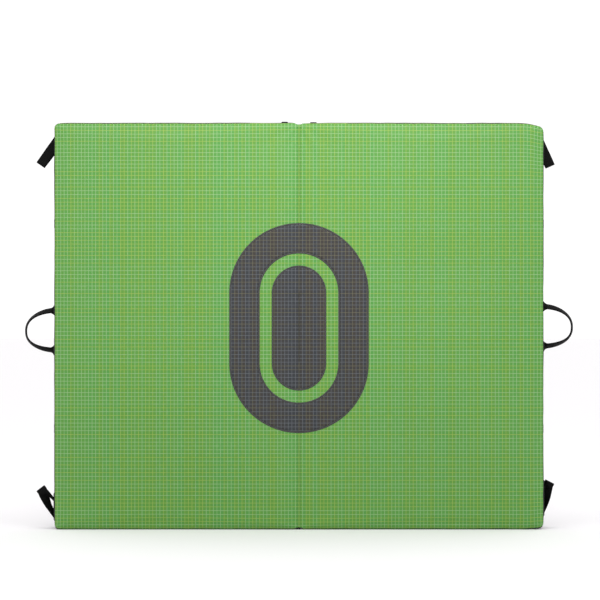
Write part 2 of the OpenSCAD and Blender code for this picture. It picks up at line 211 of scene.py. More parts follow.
def turn_out(obj, way=None):
    """Turns an open sheet's faces to look along a direction, or away from the object's middle."""
    mesh = obj.data
    n, c = np.zeros(len(mesh.polygons) * 3), np.zeros(len(mesh.polygons) * 3)
    mesh.polygons.foreach_get("normal", n)
    mesh.polygons.foreach_get("center", c)
    n, c = n.reshape(-1, 3), c.reshape(-1, 3)
    target = c - c.mean(0) if way is None else np.array([way])
    if (n * target).sum() < 0:
        mesh.flip_normals()
    return obj


def modifier(obj, kind, **settings):
    m = obj.modifiers.new(kind.lower(), kind)
    for key, value in settings.items():
        setattr(m, key, value)
    return m


def unit(v):
    v = np.asarray(v, float)
    return v / np.maximum(np.linalg.norm(v, axis=-1, keepdims=True), 1e-12)


def smooth_step(x, low, high):
    t = np.clip((x - low) / (high - low), 0, 1)
    return t * t * (3 - 2 * t)


def distances(points, closed=False):
    """How far along a polyline each of its points lies. A closed one ends where it began."""
    if closed:
        points = np.vstack([points, points[:1]])
    return np.concatenate([[0], np.cumsum(np.linalg.norm(np.diff(points, axis=0), axis=1))])


def wrapped(uvs):
    """A grid of UVs with its first column again after the last, for a grid that closes."""
    return np.concatenate([uvs, uvs[:, :1]], 1)


def mm_from(origin, *offsets):
    """Points (a, b) at offsets in mm from an origin in metres."""
    return [(origin[0] + a * MM, origin[1] + b * MM) for a, b in offsets]


# --- smooth seeded noise ---

def noise(x, y, size, seed):
    """Smooth values between -1 and 1 over a plane, with features of about the given size."""
    rng = np.random.default_rng(seed)
    table = rng.uniform(-1, 1, (64, 64))
    u, v = np.asarray(x) / size + 17.3, np.asarray(y) / size + 9.7
    i, j = np.floor(u).astype(int), np.floor(v).astype(int)
    a, b = u - i, v - j
    a, b = a * a * (3 - 2 * a), b * b * (3 - 2 * b)
    at = lambda p, q: table[p % 64, q % 64]
    low = at(i, j) * (1 - a) + at(i + 1, j) * a
    high = at(i, j + 1) * (1 - a) + at(i + 1, j + 1) * a
    return low * (1 - b) + high * b


# --- cloth simulation ---

def simulate(points, faces, pinned, pressure, frames=20):
    """Inflates a closed fabric shape with Blender's Cloth and returns its moved points. pinned is
    1 for each point that stays and 0 for the others."""
    obj = make_object("cloth_run", points, faces)
    obj.vertex_groups.new(name="pin").add(np.flatnonzero(pinned).tolist(), 1.0, "REPLACE")
    cloth = modifier(obj, "CLOTH")
    s = cloth.settings
    s.quality = 4
    s.mass = 0.3
    s.tension_stiffness = s.compression_stiffness = 15
    s.shear_stiffness = 5
    s.bending_stiffness = 0.4
    s.use_pressure = True
    s.uniform_pressure_force = pressure
    s.vertex_group_mass = "pin"
    s.effector_weights.gravity = 0
    cloth.collision_settings.use_collision = False
    cloth.point_cache.frame_start, cloth.point_cache.frame_end = 1, frames
    scene = bpy.context.scene
    for f in range(1, frames + 1):
        scene.frame_set(f)
    evaluated = obj.evaluated_get(bpy.context.evaluated_depsgraph_get())
    moved = np.zeros(len(points) * 3)
    evaluated.data.vertices.foreach_get("co", moved)
    scene.frame_set(1)
    mesh = obj.data
    bpy.data.objects.remove(obj)
    bpy.data.meshes.remove(mesh)
    return moved.reshape(-1, 3)


def soft_cap(move, most):
    """Shortens long moves so that none is longer than most."""
    length = np.linalg.norm(move, axis=-1, keepdims=True)
    return move / np.maximum(length, 1e-9) * most * np.tanh(length / most)


# --- the shell of one half ---

def edge_lines(length, spacing=8.6 * MM):
    """Grid lines along one side of a panel, closer together near its ends."""
    near = np.array([0, 2, 4, 7, 11.5]) * MM
    middle_n = int(round((length - 2 * near[-1]) / spacing))
    middle = np.linspace(near[-1], length - near[-1], middle_n + 1)
    return np.concatenate([near[:-1], middle, length - near[:-1][::-1]])


def round_corners(x, z, width, height, radii):
    """Moves the points of a rectangle's grid so that its corners are round. radii is the corner
    radius at low x and at high x."""
    x, z = x.copy(), z.copy()
    for at_high_x, radius in enumerate(radii):
        for at_high_z in (0, 1):
            cx = width - radius if at_high_x else radius
            cz = height - radius if at_high_z else radius
            dx, dz = x - cx, z - cz
            inside = ((dx > 0) if at_high_x else (dx < 0)) & ((dz > 0) if at_high_z else (dz < 0))
            reach = np.hypot(dx, dz)
            scale = np.where(inside, np.maximum(abs(dx), abs(dz)) / np.maximum(reach, 1e-9), 1)
            x, z = cx + dx * scale, cz + dz * scale
    return x, z


def boundary_loop(nx, nz):
    """Indices of the points round the edge of an nx by nz grid, in order."""
    index = np.arange(nx * nz).reshape(nx, nz)
    return np.concatenate([index[:-1, 0], index[-1, :-1], index[:0:-1, -1], index[0, :0:-1]])


class HalfShell:
    """The fabric shell of the right half, as a front grid, rings round the edge and a back grid.
    Local x runs from the hinge edge outward."""

    def __init__(self):
        width, height = HALF_W - 2 * RIM, MAT_H - 2 * RIM
        x, z = np.meshgrid(edge_lines(width), edge_lines(height), indexing="ij")
        x, z = round_corners(x, z, width, height, (INNER_CORNER - RIM, OUTER_CORNER - RIM))
        self.nx, self.nz = x.shape
        self.x, self.z = x + RIM, z + RIM
        self.loop = boundary_loop(self.nx, self.nz)
        self.build()

    def outward(self):
        """The boundary points' x and z, and their outward directions."""
        bx, bz = self.x.ravel()[self.loop], self.z.ravel()[self.loop]
        radius = np.where(bx < HALF_W / 2, INNER_CORNER - RIM, OUTER_CORNER - RIM)
        cx = np.clip(bx, RIM + radius, HALF_W - RIM - radius)
        cz = np.clip(bz, RIM + radius, MAT_H - RIM - radius)
        return bx, bz, unit(np.stack([bx - cx, bz - cz], -1))

    def build(self):
        bx, bz, self.out = self.outward()
        self.hinge_side = np.clip(-self.out[:, 0], 0, 1) * (bx < HALF_W / 2)
        bends = [(RIM * np.sin(t), RIM * (1 - np.cos(t))) for t in np.radians([22, 45, 68, 90])]
        # each ring's distance outward and depth behind the landing face. The last bend is the seam.
        rows = [(offset, depth * (1 - 0.85 * self.hinge_side)) for offset, depth in bends]
        rows.append((RIM - SEAM_DEPTH, GROOVE_Y))
        rows += [(RIM, y) for y in np.linspace(RIM + 2.6 * MM, MAT_T - RIM - 2.6 * MM, 11)]
        rows.append((RIM - SEAM_DEPTH, MAT_T - GROOVE_Y))
        rows += [(offset, MAT_T - depth) for offset, depth in bends[::-1]]
        rings = [np.stack(np.broadcast_arrays(bx + self.out[:, 0] * offset, FACE_Y + y,
                                              bz + self.out[:, 1] * offset), -1)
                 for offset, y in rows]
        front = np.stack([self.x, np.full_like(self.x, FACE_Y), self.z], -1).reshape(-1, 3)
        self.points = np.vstack([front, *rings, front * (1, 0, 1) + (0, BACK_Y, 0)])
        self.flat = self.points.copy()
        # which points are whose: the two grids, all rings, and the rings of each fabric
        n, ring_n = len(front), len(rows) * len(bx)
        self.front, self.back = np.arange(n), n + ring_n + np.arange(n)
        self.rings = n + np.arange(ring_n).reshape(len(rows), -1)
        self.face_rings, self.gusset, self.back_rings = np.split(self.rings,
                                                                 [len(bends), -len(bends)])

    def faces(self):
        quads, _ = grid_quads(self.nx, self.nz)
        chain = np.vstack([self.front[self.loop], self.rings, self.back[self.loop]])
        strip, _ = grid_quads(*chain.shape, close_cols=True)
        return np.vstack([self.front[quads], self.back[quads[:, ::-1]], chain.ravel()[strip]])

    def inflate(self):
        """Swells the panels and the gusset between their seams."""
        pinned = np.zeros(len(self.points))
        for seam in (self.face_rings[-1], self.gusset[0], self.gusset[-1], self.back_rings[0]):
            pinned[seam] = 1
        move = simulate(self.points, self.faces(), pinned, pressure=4.0) - self.points
        for part, most in ((np.append(self.front, self.face_rings), FACE_CROWN),
                           (np.append(self.back, self.back_rings), BACK_CROWN),
                           (self.gusset.ravel(), GUSSET_CROWN)):
            move[part] = soft_cap(move[part], most)
        self.points = self.points + move
        return self


def wrinkles(shell, seed, fullness):
    """The shell's points with the small waves, seam puckers and creases that its fabric has.
    Heights are in mm, and so is fullness, which is how far the gusset swells out."""
    p, flat = shell.points.copy(), shell.flat
    for part, side in ((shell.front, -1), (shell.back, 1)):
        x, z = flat[part, 0], flat[part, 2]
        to_edge = np.minimum.reduce([HALF_W - x, z, MAT_H - z])
        fade = smooth_step(to_edge, 0, 0.02)
        waves = BIG_WAVE * noise(x, z, 0.19, seed) + SMALL_WAVE * noise(x, z, 0.08, seed + 1)
        edge_x = np.where(HALF_W - x < np.minimum(z, MAT_H - z), z, x)
        pucker = noise(edge_x, to_edge * 0.25, 0.016, seed + 2) * np.exp(-to_edge / 0.016)
        for end in (MAT_H - z, z):
            # creases that fan out from the hinge's two ends
            angle = np.arctan2(end, x + 4 * MM)
            reach = np.hypot(end, x)
            rays = np.sin(angle * 11 + seed) * np.exp(-reach / 0.07) * smooth_step(reach, 0, 0.03)
            waves = waves + RAY * rays
        if side < 0:
            dip = -HINGE_DIP * np.exp(-(x / 0.012))          # along the hinge
            p[part, 1] += side * (waves * fade + FRONT_PUCKER * pucker + dip) * MM
            continue
        # soft folds cross the back, and the zip's tape holds it flat
        calm = np.exp(-((z - ZIP_Z) / (24 * MM)) ** 4)
        folds = FOLD * np.sin(noise(x, z, 0.24, seed + 9) * 7 + 9 * (x + 0.6 * z)) \
            * np.exp(-to_edge / 0.09)
        y_move = (waves * fade + BACK_PUCKER * pucker + folds * fade) * MM + p[part, 1] - flat[part, 1]
        p[part, 1] = flat[part, 1] + y_move * (1 - 0.93 * calm)
    along = np.arange(len(shell.loop)) * 8 * MM
    keep = 1 - 0.8 * shell.hinge_side
    for ring in shell.rings:
        depth = (flat[ring, 1] - FACE_Y) / MAT_T
        belly = np.sin(np.pi * np.clip(depth, 0, 1))
        swell = (GUSSET_WAVE * noise(along, depth * 0.05, 0.07, seed + 5) + fullness) * belly
        swell += GUSSET_RIPPLE * noise(along, depth * 0.02, 0.02, seed + 6) * (1 - 0.5 * belly)
        p[ring, 0] += shell.out[:, 0] * swell * keep * MM
        p[ring, 2] += shell.out[:, 1] * swell * keep * MM
    # the landing face stops a little above the ground, where the gusset carries the weight
    facing = flat[:, 1] < FACE_Y + RIM + 0.1 * MM
    p[:, 2] += facing * 2.4 * MM * (1 - smooth_step(flat[:, 2], 0, 20 * MM))
    p[:, 2] = np.maximum(p[:, 2], 0.2 * MM)
    return p


def placed(points, side):
    """Points of a shell in the mat's frame: local x runs outward from the hinge."""
    moved = points.copy()
    moved[..., 0] = side * (GAP_X + points[..., 0])
    return moved


def slumped(points):
    """The right half's soft outer corners: the upper one sags, and the lower one lifts a little."""
    p = points.copy()
    out = np.exp(-((p[:, 0] - EDGE_X) / (26 * MM)) ** 2)
    p[:, 2] -= 8 * MM * out * smooth_step(p[:, 2], MAT_H - 0.18, MAT_H)
    p[:, 2] += 3 * MM * out * (1 - smooth_step(p[:, 2], 0, 0.12))
    return p


# --- materials ---

class Paint:
    """A material with helpers that add nodes. Numbers and sockets mix freely as inputs."""

    def __init__(self, name, base, roughness, **sockets):
        self.material = bpy.data.materials.new(name)
        self.material.use_nodes = True
        self.tree = self.material.node_tree
        self.shader = self.tree.nodes["Principled BSDF"]
        self.set(self.shader.inputs["Base Color"], (*base, 1))
        self.shader.inputs["Roughness"].default_value = roughness
        for key, value in sockets.items():
            self.shader.inputs[key.replace("_", " ")].default_value = value
        self.cloth = None

    def set(self, socket, value):
        if isinstance(value, bpy.types.NodeSocket):
            self.tree.links.new(value, socket)
        else:
            socket.default_value = value

    def node(self, kind, inputs=(), **settings):
        n = self.tree.nodes.new("ShaderNode" + kind)
        for key, value in settings.items():
            setattr(n, key, value)
        for key, value in dict(inputs).items():
            self.set(n.inputs[key], value)
        return n

    def math(self, operation, a, b=0.0, c=0.0):
        n = self.node("Math", {0: a, 1: b, 2: c}, operation=operation)
        return n.outputs[0]

    def uv(self):
        """The flat cloth coordinates, in metres, as (vector, u, v)."""
        if self.cloth is None:
            where = self.node("UVMap", uv_map="cloth").outputs[0]
            parts = self.node("SeparateXYZ", {0: where})
            self.cloth = (where, parts.outputs[0], parts.outputs[1])
        return self.cloth

    def place(self):
        """The point on the object, in metres."""
        return self.node("TexCoord").outputs["Object"]

    def noise(self, vector, scale, detail=2.0, roughness=0.5):
        return self.node("TexNoise", {"Vector": vector, "Scale": scale, "Detail": detail,
                                      "Roughness": roughness}).outputs["Fac"]

    def ramp(self, value, low, high, out_low=0.0, out_high=1.0):
        n = self.node("MapRange", {0: value, 1: low, 2: high, 3: out_low, 4: out_high},
                      interpolation_type="SMOOTHSTEP")
        return n.outputs[0]

    def mix(self, factor, a, b):
        n = self.node("Mix", data_type="RGBA")
        self.set(n.inputs["Factor"], factor)
        for key, value in (("A", a), ("B", b)):
            socket = [s for s in n.inputs if s.name == key and s.type == "RGBA"][0]
            self.set(socket, value if isinstance(value, bpy.types.NodeSocket) else (*value, 1))
        return [s for s in n.outputs if s.type == "RGBA"][0]

    def line(self, coordinate, pitch, half_width, soft):
        """1 on lines a pitch apart, 0 between them."""
        off = self.math("PINGPONG", coordinate, pitch / 2)
        return self.ramp(off, half_width + soft, half_width)

    def wave(self, coordinate, pitch, shift=0.0):
        """A rounded wave between 0 and 1."""
        turn = self.math("MULTIPLY_ADD", coordinate, 2 * math.pi / pitch, shift)
        return self.math("MULTIPLY_ADD", self.math("SINE", turn), 0.5, 0.5)

    def bump(self, height, distance, strength=1.0, under=None):
        inputs = {"Height": height, "Distance": distance, "Strength": strength}
        if under is not None:
            inputs["Normal"] = under
        return self.node("Bump", inputs).outputs[0]

    def finish(self, color=None, roughness=None, normal=None):
        for key, value in (("Base Color", color), ("Roughness", roughness), ("Normal", normal)):
            if value is not None:
                self.set(self.shader.inputs[key], value)
        return self.material


def plain_weave(paint, pitch):
    """Height of a plain weave: over-and-under threads both ways."""
    _, u, v = paint.uv()
    warp = paint.wave(u, pitch)
    weft = paint.wave(v, pitch)
    cells = [paint.math("FLOOR", paint.math("DIVIDE", way, pitch)) for way in (u, v)]
    over = paint.math("PINGPONG", paint.math("ADD", *cells), 1.0)
    return paint.math("ADD", paint.math("MULTIPLY", warp, over),
                      paint.math("MULTIPLY", weft, paint.math("SUBTRACT", 1.0, over)))


def ripstop(name, base, shade, thread, warm_thread, pitch_u, pitch_v, thread_half, roughness):
    """Fine woven cloth with a grid of thicker, paler threads, some of them warmer."""
    paint = Paint(name, base, roughness, Sheen_Weight=0.05, Sheen_Roughness=0.5,
                  Specular_IOR_Level=0.3)
    where, u, v = paint.uv()
    drift = paint.noise(where, 3.0, 3)
    across = paint.noise(where, 260.0, 2)
    ground = paint.mix(paint.ramp(drift, 0.3, 0.7), base, shade)
    ground = paint.mix(paint.math("MULTIPLY", across, 0.5), ground, shade)

    def threads(coordinate, pitch, other):
        on = paint.line(coordinate, pitch, thread_half, 0.35 * MM)
        row = paint.math("ROUND", paint.math("DIVIDE", coordinate, pitch))
        chance = paint.node("TexWhiteNoise", {"W": row}, noise_dimensions="1D").outputs["Value"]
        spot = paint.node("CombineXYZ", {0: row, 1: other, 2: 0.0}).outputs[0]
        breaks = paint.noise(spot, 60.0, 1)
        strength = paint.math("MULTIPLY", on, paint.ramp(breaks, 0.1, 0.8, 0.55, 1.0))
        tint = paint.mix(paint.math("GREATER_THAN", chance, 0.55), thread, warm_thread)
        return strength, tint

    # each column of cells leans a little to blue or to yellow
    column = paint.math("FLOOR", paint.math("DIVIDE", u, pitch_u))
    lean = paint.node("TexWhiteNoise", {"W": column}, noise_dimensions="1D").outputs["Value"]
    cooler = [base[0] * 0.72, base[1] * 1.0, base[2] * 1.55]
    warmer = [base[0] * 1.22, base[1] * 0.96, base[2] * 0.72]
    ground = paint.mix(0.5, ground, paint.mix(lean, cooler, warmer))
    warp, warp_tint = threads(u, pitch_u, v)
    weft, weft_tint = threads(v, pitch_v, u)
    color = paint.mix(warp, ground, warp_tint)
    color = paint.mix(weft, color, weft_tint)
    raised = paint.math("MAXIMUM", warp, weft)
    fine = paint.bump(plain_weave(paint, 0.7 * MM), 0.06 * MM, 0.35)
    normal = paint.bump(raised, 0.22 * MM, 0.5, fine)
    rough = paint.ramp(across, 0.3, 0.7, roughness - 0.06, roughness + 0.08)
    return paint.finish(color, rough, normal)


def coated_weave(name, base, worn, pitch=0.9 * MM, roughness=0.62):
    """Heavy coated pack cloth: a coarse plain weave with rubbed highs and dusty patches."""
    paint = Paint(name, base, roughness, Sheen_Weight=0.03, Sheen_Roughness=0.45,
                  Specular_IOR_Level=0.26)
    where = paint.uv()[0]
    weave = plain_weave(paint, pitch)
    dust = paint.noise(where, 6.0, 4, 0.6)
    fleck = paint.noise(where, 700.0, 1)
    color = paint.mix(paint.math("MULTIPLY", weave, 0.55), base, worn)
    color = paint.mix(paint.ramp(dust, 0.45, 0.8, 0.0, 0.35), color, worn)
    rough = paint.ramp(paint.math("ADD", dust, fleck), 0.6, 1.4, roughness - 0.1, roughness + 0.12)
    return paint.finish(color, rough, paint.bump(weave, 0.12 * MM, 0.6))


def webbing(name, base, worn, rib=1.55 * MM, column=2.1 * MM):
    """Flat-woven strap: ribs across it, offset between columns, and rubbed highs."""
    paint = Paint(name, base, 0.65, Sheen_Weight=0.005, Sheen_Roughness=0.4,
                  Specular_IOR_Level=0.02)
    where, u, v = paint.uv()
    lane = paint.math("PINGPONG", paint.math("FLOOR", paint.math("DIVIDE", u, column)), 1.0)
    ribs = paint.wave(paint.math("MULTIPLY_ADD", lane, rib / 2, v), rib)
    lanes = paint.wave(u, column)
    height = paint.math("MULTIPLY_ADD", lanes, 0.45, ribs)
    color = paint.mix(paint.ramp(height, 0.3, 1.4), base, worn)
    dust = paint.noise(where, 40.0, 3)
    color = paint.mix(paint.ramp(dust, 0.5, 0.8, 0.0, 0.3), color, worn)
    rough = paint.ramp(dust, 0.3, 0.7, 0.48, 0.66)
    return paint.finish(color, rough, paint.bump(height, 0.25 * MM, 0.7))


def thread_paint(name, base):
    """Sewing thread, twisted on the slant."""
    paint = Paint(name, base, 0.45, Specular_IOR_Level=0.5)
    _, u, v = paint.uv()
    twist = paint.wave(paint.math("ADD", u, v), 0.5 * MM)
    return paint.finish(normal=paint.bump(twist, 0.08 * MM, 0.6))


def satin_stitch(name, base, sheen):
    """Close parallel threads across a narrow raised border. u runs along it."""
    paint = Paint(name, base, 0.42, Sheen_Weight=0.3, Specular_IOR_Level=0.5)
    _, u, v = paint.uv()
    strand = paint.wave(paint.math("MULTIPLY_ADD", v, 0.25, u), 0.55 * MM)
    color = paint.mix(paint.math("MULTIPLY", strand, 0.6), base, sheen)
    return paint.finish(color, normal=paint.bump(strand, 0.12 * MM, 0.8))


def foam(name, base, cell):
    """Open foam with cells of the given size."""
    paint = Paint(name, base, 0.95)
    place = paint.place()
    cells = paint.node("TexVoronoi", {"Vector": place, "Scale": 1 / cell}).outputs["Distance"]
    tone = paint.noise(place, 20.0, 3)
    color = paint.mix(paint.ramp(tone, 0.3, 0.7, 0.0, 0.4), base, [c * 0.8 for c in base])
    return paint.finish(color, normal=paint.bump(cells, cell * 0.5, 0.7))


def moulded(name, base):
    """Moulded plastic with a fine spark texture and slightly rubbed patches."""
    paint = Paint(name, base, 0.5, Specular_IOR_Level=0.5)
    place = paint.place()
    grain = paint.noise(place, 2500.0, 1)
    rub = paint.noise(place, 90.0, 3)
    rough = paint.ramp(rub, 0.3, 0.7, 0.38, 0.58)
    return paint.finish(None, rough, paint.bump(grain, 0.05 * MM, 0.4))


def metal_paint(name, base, roughness, metallic=1.0):
    """Satin metal with fine tumbling marks."""
    paint = Paint(name, base, roughness, Metallic=metallic)
    place = paint.place()
    marks = paint.noise(place, 900.0, 3, 0.7)
    worn = paint.noise(place, 120.0, 2)
    rough = paint.ramp(worn, 0.3, 0.7, roughness - 0.08, roughness + 0.1)
    return paint.finish(None, rough, paint.bump(marks, 0.03 * MM, 0.35))


GREEN = ripstop("green_ripstop", (0.090, 0.268, 0.038), (0.076, 0.246, 0.031),
                (0.248, 0.415, 0.185), (0.262, 0.380, 0.072), 8.9 * MM, 9.5 * MM, 0.5 * MM, 0.55)
DARK_RIPSTOP = ripstop("grey_ripstop", (0.032, 0.031, 0.0285), (0.026, 0.0255, 0.024),
                       (0.105, 0.115, 0.130), (0.120, 0.110, 0.070), 8.9 * MM, 9.5 * MM,
                       0.45 * MM, 0.6)
SHELL_BLACK = coated_weave("shell_black", (0.011, 0.011, 0.0116), (0.040, 0.040, 0.042))
PAD_BLACK = coated_weave("pad_black", (0.019, 0.019, 0.020), (0.060, 0.060, 0.062), 1.2 * MM, 0.7)
WEBBING = webbing("webbing_black", (0.0035, 0.0035, 0.0036), (0.0125, 0.0125, 0.0128))
THREAD = thread_paint("thread_black", (0.02, 0.02, 0.021))
SATIN = satin_stitch("satin_black", (0.010, 0.010, 0.010), (0.045, 0.045, 0.045))
SHEET_FOAM = foam("sheet_foam", (0.55, 0.56, 0.57), 0.6 * MM)
CORE_FOAM = foam("core_foam", (0.75, 0.69, 0.46), 1.2 * MM)
PLASTIC = moulded("black_acetal", (0.018, 0.018, 0.019))
METAL = metal_paint("satin_aluminium", (0.62, 0.63, 0.65), 0.32)
ZIP_METAL = metal_paint("zip_enamel", (0.03, 0.03, 0.032), 0.35, 0.6)


# --- landing face, gussets and backs ---

shell = HalfShell().inflate()
SEED = {-1: 11, 1: 42}
FULLNESS = {-1: 2.2, 1: 1.5}        # how far each half's gusset swells out, in mm
SIDE_NAME = {-1: "left", 1: "right"}
PANEL = {-1: "left_panel", 1: "right_panel"}
shaped = {side: placed(wrinkles(shell, SEED[side], FULLNESS[side]), side) for side in (-1, 1)}
shaped[1] = slumped(shaped[1])


def panel_uv(points):
    """Flat cloth coordinates of a panel: where each of its points lies, in x and z."""
    return np.stack([points[..., 0], points[..., 2]], -1)


def panel_parts(side, grid, rings, flip, spread=0.0):
    """Parts of one panel of a half: its grid, and the rim that turns to the seam over the rings.
    The rim's flat coordinates reach outward by the given share of its depth."""
    points, flat = shaped[side], placed(shell.flat, side)
    chain = np.vstack([grid[shell.loop], rings])
    depth = flat[chain][..., 1:2] - FACE_Y
    out = np.stack([side * shell.out[:, 0], shell.out[:, 1]], -1)
    rim_uv = panel_uv(flat[chain]) + depth * spread * out
    shape = (shell.nx, shell.nz, 3)
    return [grid_part(points[grid].reshape(shape), panel_uv(flat[grid].reshape(shape)), flip=flip),
            grid_part(points[chain], wrapped(rim_uv), close_cols=True, flip=flip)]


def shell_cover(piece, way, slot, *nodes):
    """Gives a cover of the shell its outer side, a subdivision and its thickness, and hides the CAD
    parts that it replaces.
    """
    turn_out(piece, way)
    modifier(piece, "SUBSURF", levels=1, render_levels=1)
    modifier(piece, "SOLIDIFY", thickness=CLOTH_T, offset=-1)
    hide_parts(*nodes)


def over_hinge(piece):
    """Bakes the transform of a piece that crosses the hinge into its points."""
    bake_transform(piece)


def hinge_strip():
    """The landing face's fabric between the halves, pressed in along the fold."""
    seam = shell.face_rings[-1]
    inner = [k for k in range(len(seam)) if shell.out[k, 0] < -0.55]
    inner.sort(key=lambda k: shell.flat[seam[k], 2])
    left, right = shaped[-1][seam[inner]], shaped[1][seam[inner]]
    rows = []
    for t in (0, 0.25, 0.5, 0.75, 1):
        row = left * (1 - t) + right * t
        row[:, 1] += 1.6 * MM * math.sin(math.pi * t)
        rows.append(row)
    strip = np.stack(rows)
    return [grid_part(strip, panel_uv(strip))]


def landing_face():
    """The one green cover that runs over both halves and the hinge."""
    halves = [panel_parts(side, shell.front, shell.face_rings, side < 0, ARC_EXTRA)
              for side in (-1, 1)]
    face = weld(joined("landing_face", halves[0] + halves[1] + hinge_strip(), GREEN), 0.05 * MM)
    shell_cover(face, (0, -1, 0), "face_fabric", "left_face_cover", "right_face_cover", "hinge_web")
    over_hinge(face)
    return face


def gusset(side):
    """The black band round one half, between its two seams."""
    rows = np.vstack([shell.face_rings[-1], shell.gusset, shell.back_rings[0]])
    depth = placed(shell.flat, side)[rows][..., 1]
    along = distances(shell.flat[rows[2]][:, ::2], closed=True)
    uv = np.stack([np.broadcast_to(along, (len(rows), len(along))), wrapped(depth)], -1)
    band = grid_part(shaped[side][rows], uv, close_cols=True, flip=side < 0)
    piece = joined(SIDE_NAME[side] + "_side_band", [band], SHELL_BLACK)
    shell_cover(piece, None, "shell_fabric", SIDE_NAME[side] + "_gusset")
    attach(piece, PANEL[side])
    return piece


def back_cover(side):
    """The black cover on the harness side of one half."""
    parts = panel_parts(side, shell.back, shell.back_rings[::-1], side > 0)
    piece = weld(joined(SIDE_NAME[side] + "_back", parts, SHELL_BLACK), 0.05 * MM)
    shell_cover(piece, (0, 1, 0), "shell_fabric", SIDE_NAME[side] + "_back_cover")
    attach(piece, PANEL[side])
    return piece


# --- straps, patches and stitches ---

def spline(keys, step=3 * MM):
    """A smooth curve through rows of (x, y, z, ...), sampled at even steps along its length."""
    k = np.asarray(keys, float)
    t = distances(k[:, :3])
    slope = np.gradient(k, t, axis=0)
    fine = np.linspace(0, t[-1], max(int(4 * t[-1] / step), 8))
    i = np.clip(np.searchsorted(t, fine, side="right") - 1, 0, len(t) - 2)
    h = (t[i + 1] - t[i])[:, None]
    s = (fine - t[i])[:, None] / h
    p = ((1 + 2 * s) * (1 - s) ** 2 * k[i] + s * (1 - s) ** 2 * h * slope[i]
         + s * s * (3 - 2 * s) * k[i + 1] + s * s * (s - 1) * h * slope[i + 1])
    length = distances(p[:, :3])
    even = np.linspace(0, length[-1], max(int(round(length[-1] / step)), 2) + 1)
    return np.stack([np.interp(even, length, p[:, c]) for c in range(p.shape[1])], 1)


def arc(center, radius, start, end, count):
    """Points (a, b) on an arc, angles in degrees."""
    t = np.radians(np.linspace(start, end, count))
    return [(center[0] + radius * math.cos(a), center[1] + radius * math.sin(a)) for a in t]


def strap_part(path, across, width=25 * MM, thick=2.2 * MM, closed=False):
    """A flat strap along a path; across is the direction of its width at each point."""
    p = np.asarray(path, float)
    side = np.broadcast_to(np.asarray(across, float), p.shape)
    tangent = unit(np.roll(p, -1, 0) - np.roll(p, 1, 0) if closed else np.gradient(p, axis=0))
    side = unit(side - (side * tangent).sum(1, keepdims=True) * tangent)
    normal = np.cross(side, tangent)
    e, h = width / 2, thick / 2
    row = np.linspace(-(e - 0.9 * MM), e - 0.9 * MM, max(5, int(width / (6 * MM)) + 1))
    upper = [(a, h) for a in row] + [(e - 0.25 * MM, h * 0.6), (e, 0), (e - 0.25 * MM, -h * 0.6)]
    profile = np.array(upper + [(-a, -b) for a, b in upper])
    rings = (p[:, None] + side[:, None] * profile[None, :, :1]
             + normal[:, None] * profile[None, :, 1:])
    u, v = distances(profile, closed=True), distances(p, closed)
    uv = np.stack(np.broadcast_arrays(u[None], v[:, None]), -1)
    points, faces, flat_uv = grid_part(rings, uv, close_rows=closed, close_cols=True)
    if closed:
        return points, faces, flat_uv
    n = len(profile)
    caps, cap_uv = [], []
    for base, turn, at in ((0, -1, 0), (len(points) - n, 1, v[-1])):
        for k in range(n // 2 - 1):
            quad = [k, k + 1, n - 2 - k, n - 1 - k][::turn]
            caps.append([base + q for q in quad])
            cap_uv += [(profile[q, 0] + e, at + profile[q, 1]) for q in quad]
    return points, faces + caps, np.vstack([flat_uv, cap_uv])


def plate_part(base, normal, uv, thick):
    """A thin closed slab: a grid of points, and the same grid moved along its normals."""
    rows, cols = base.shape[:2]
    top = base + np.asarray(normal) * thick
    n = rows * cols
    rim = boundary_loop(rows, cols)
    after = np.roll(rim, -1)
    quads, _ = grid_quads(rows, cols)
    faces = np.vstack([quads, (quads + n)[:, ::-1], np.stack([rim, rim + n, after + n, after], 1)])
    flat = np.asarray(uv, float).reshape(-1, 2)
    return (np.vstack([top.reshape(-1, 3), base.reshape(-1, 3)]), faces.tolist(),
            np.vstack([flat, flat])[faces.ravel()])


def dash_part(centers, along, normal, length=2.7 * MM, width=0.75 * MM, proud=0.35 * MM):
    """Stitches: one small rounded thread at each center."""
    c = np.asarray(centers, float)
    t = unit(np.broadcast_to(np.asarray(along, float), c.shape))
    n = unit(np.broadcast_to(np.asarray(normal, float), c.shape))
    s = np.cross(n, t)
    shape = np.array([(-0.5, -0.5, 0), (0.5, -0.5, 0), (0.5, 0.5, 0), (-0.5, 0.5, 0),
                      (-0.32, -0.28, 1), (0.32, -0.28, 1), (0.32, 0.28, 1), (-0.32, 0.28, 1)])
    k = shape * (length, width, 1)
    drop = 0.25 * MM
    points = (c[:, None] + t[:, None] * k[None, :, :1] + s[:, None] * k[None, :, 1:2]
              + n[:, None] * (k[None, :, 2:] * (proud + drop) - drop))
    box = np.array([(0, 3, 2, 1), (4, 5, 6, 7), (0, 1, 5, 4), (1, 2, 6, 5), (2, 3, 7, 6),
                    (3, 0, 4, 7)])
    faces = (np.arange(len(c))[:, None, None] * 8 + box).reshape(-1, 4)
    uv = np.tile(k[:, :2], (len(c), 1))[faces.ravel()]
    return points.reshape(-1, 3), faces.tolist(), uv


def stitch_line(points, normal, pitch=4 * MM):
    """Stitches along a polyline."""
    p = np.asarray(points, float)
    n = np.broadcast_to(np.asarray(normal, float), p.shape)
    t = distances(p)
    at = np.arange(pitch / 2, t[-1], pitch)
    pick = lambda rows, where: np.stack([np.interp(where, t, rows[:, k]) for k in range(3)], 1)
    ahead, behind = pick(p, at + 0.5 * MM), pick(p, at - 0.5 * MM)
    return dash_part(pick(p, at), ahead - behind, pick(n, at))


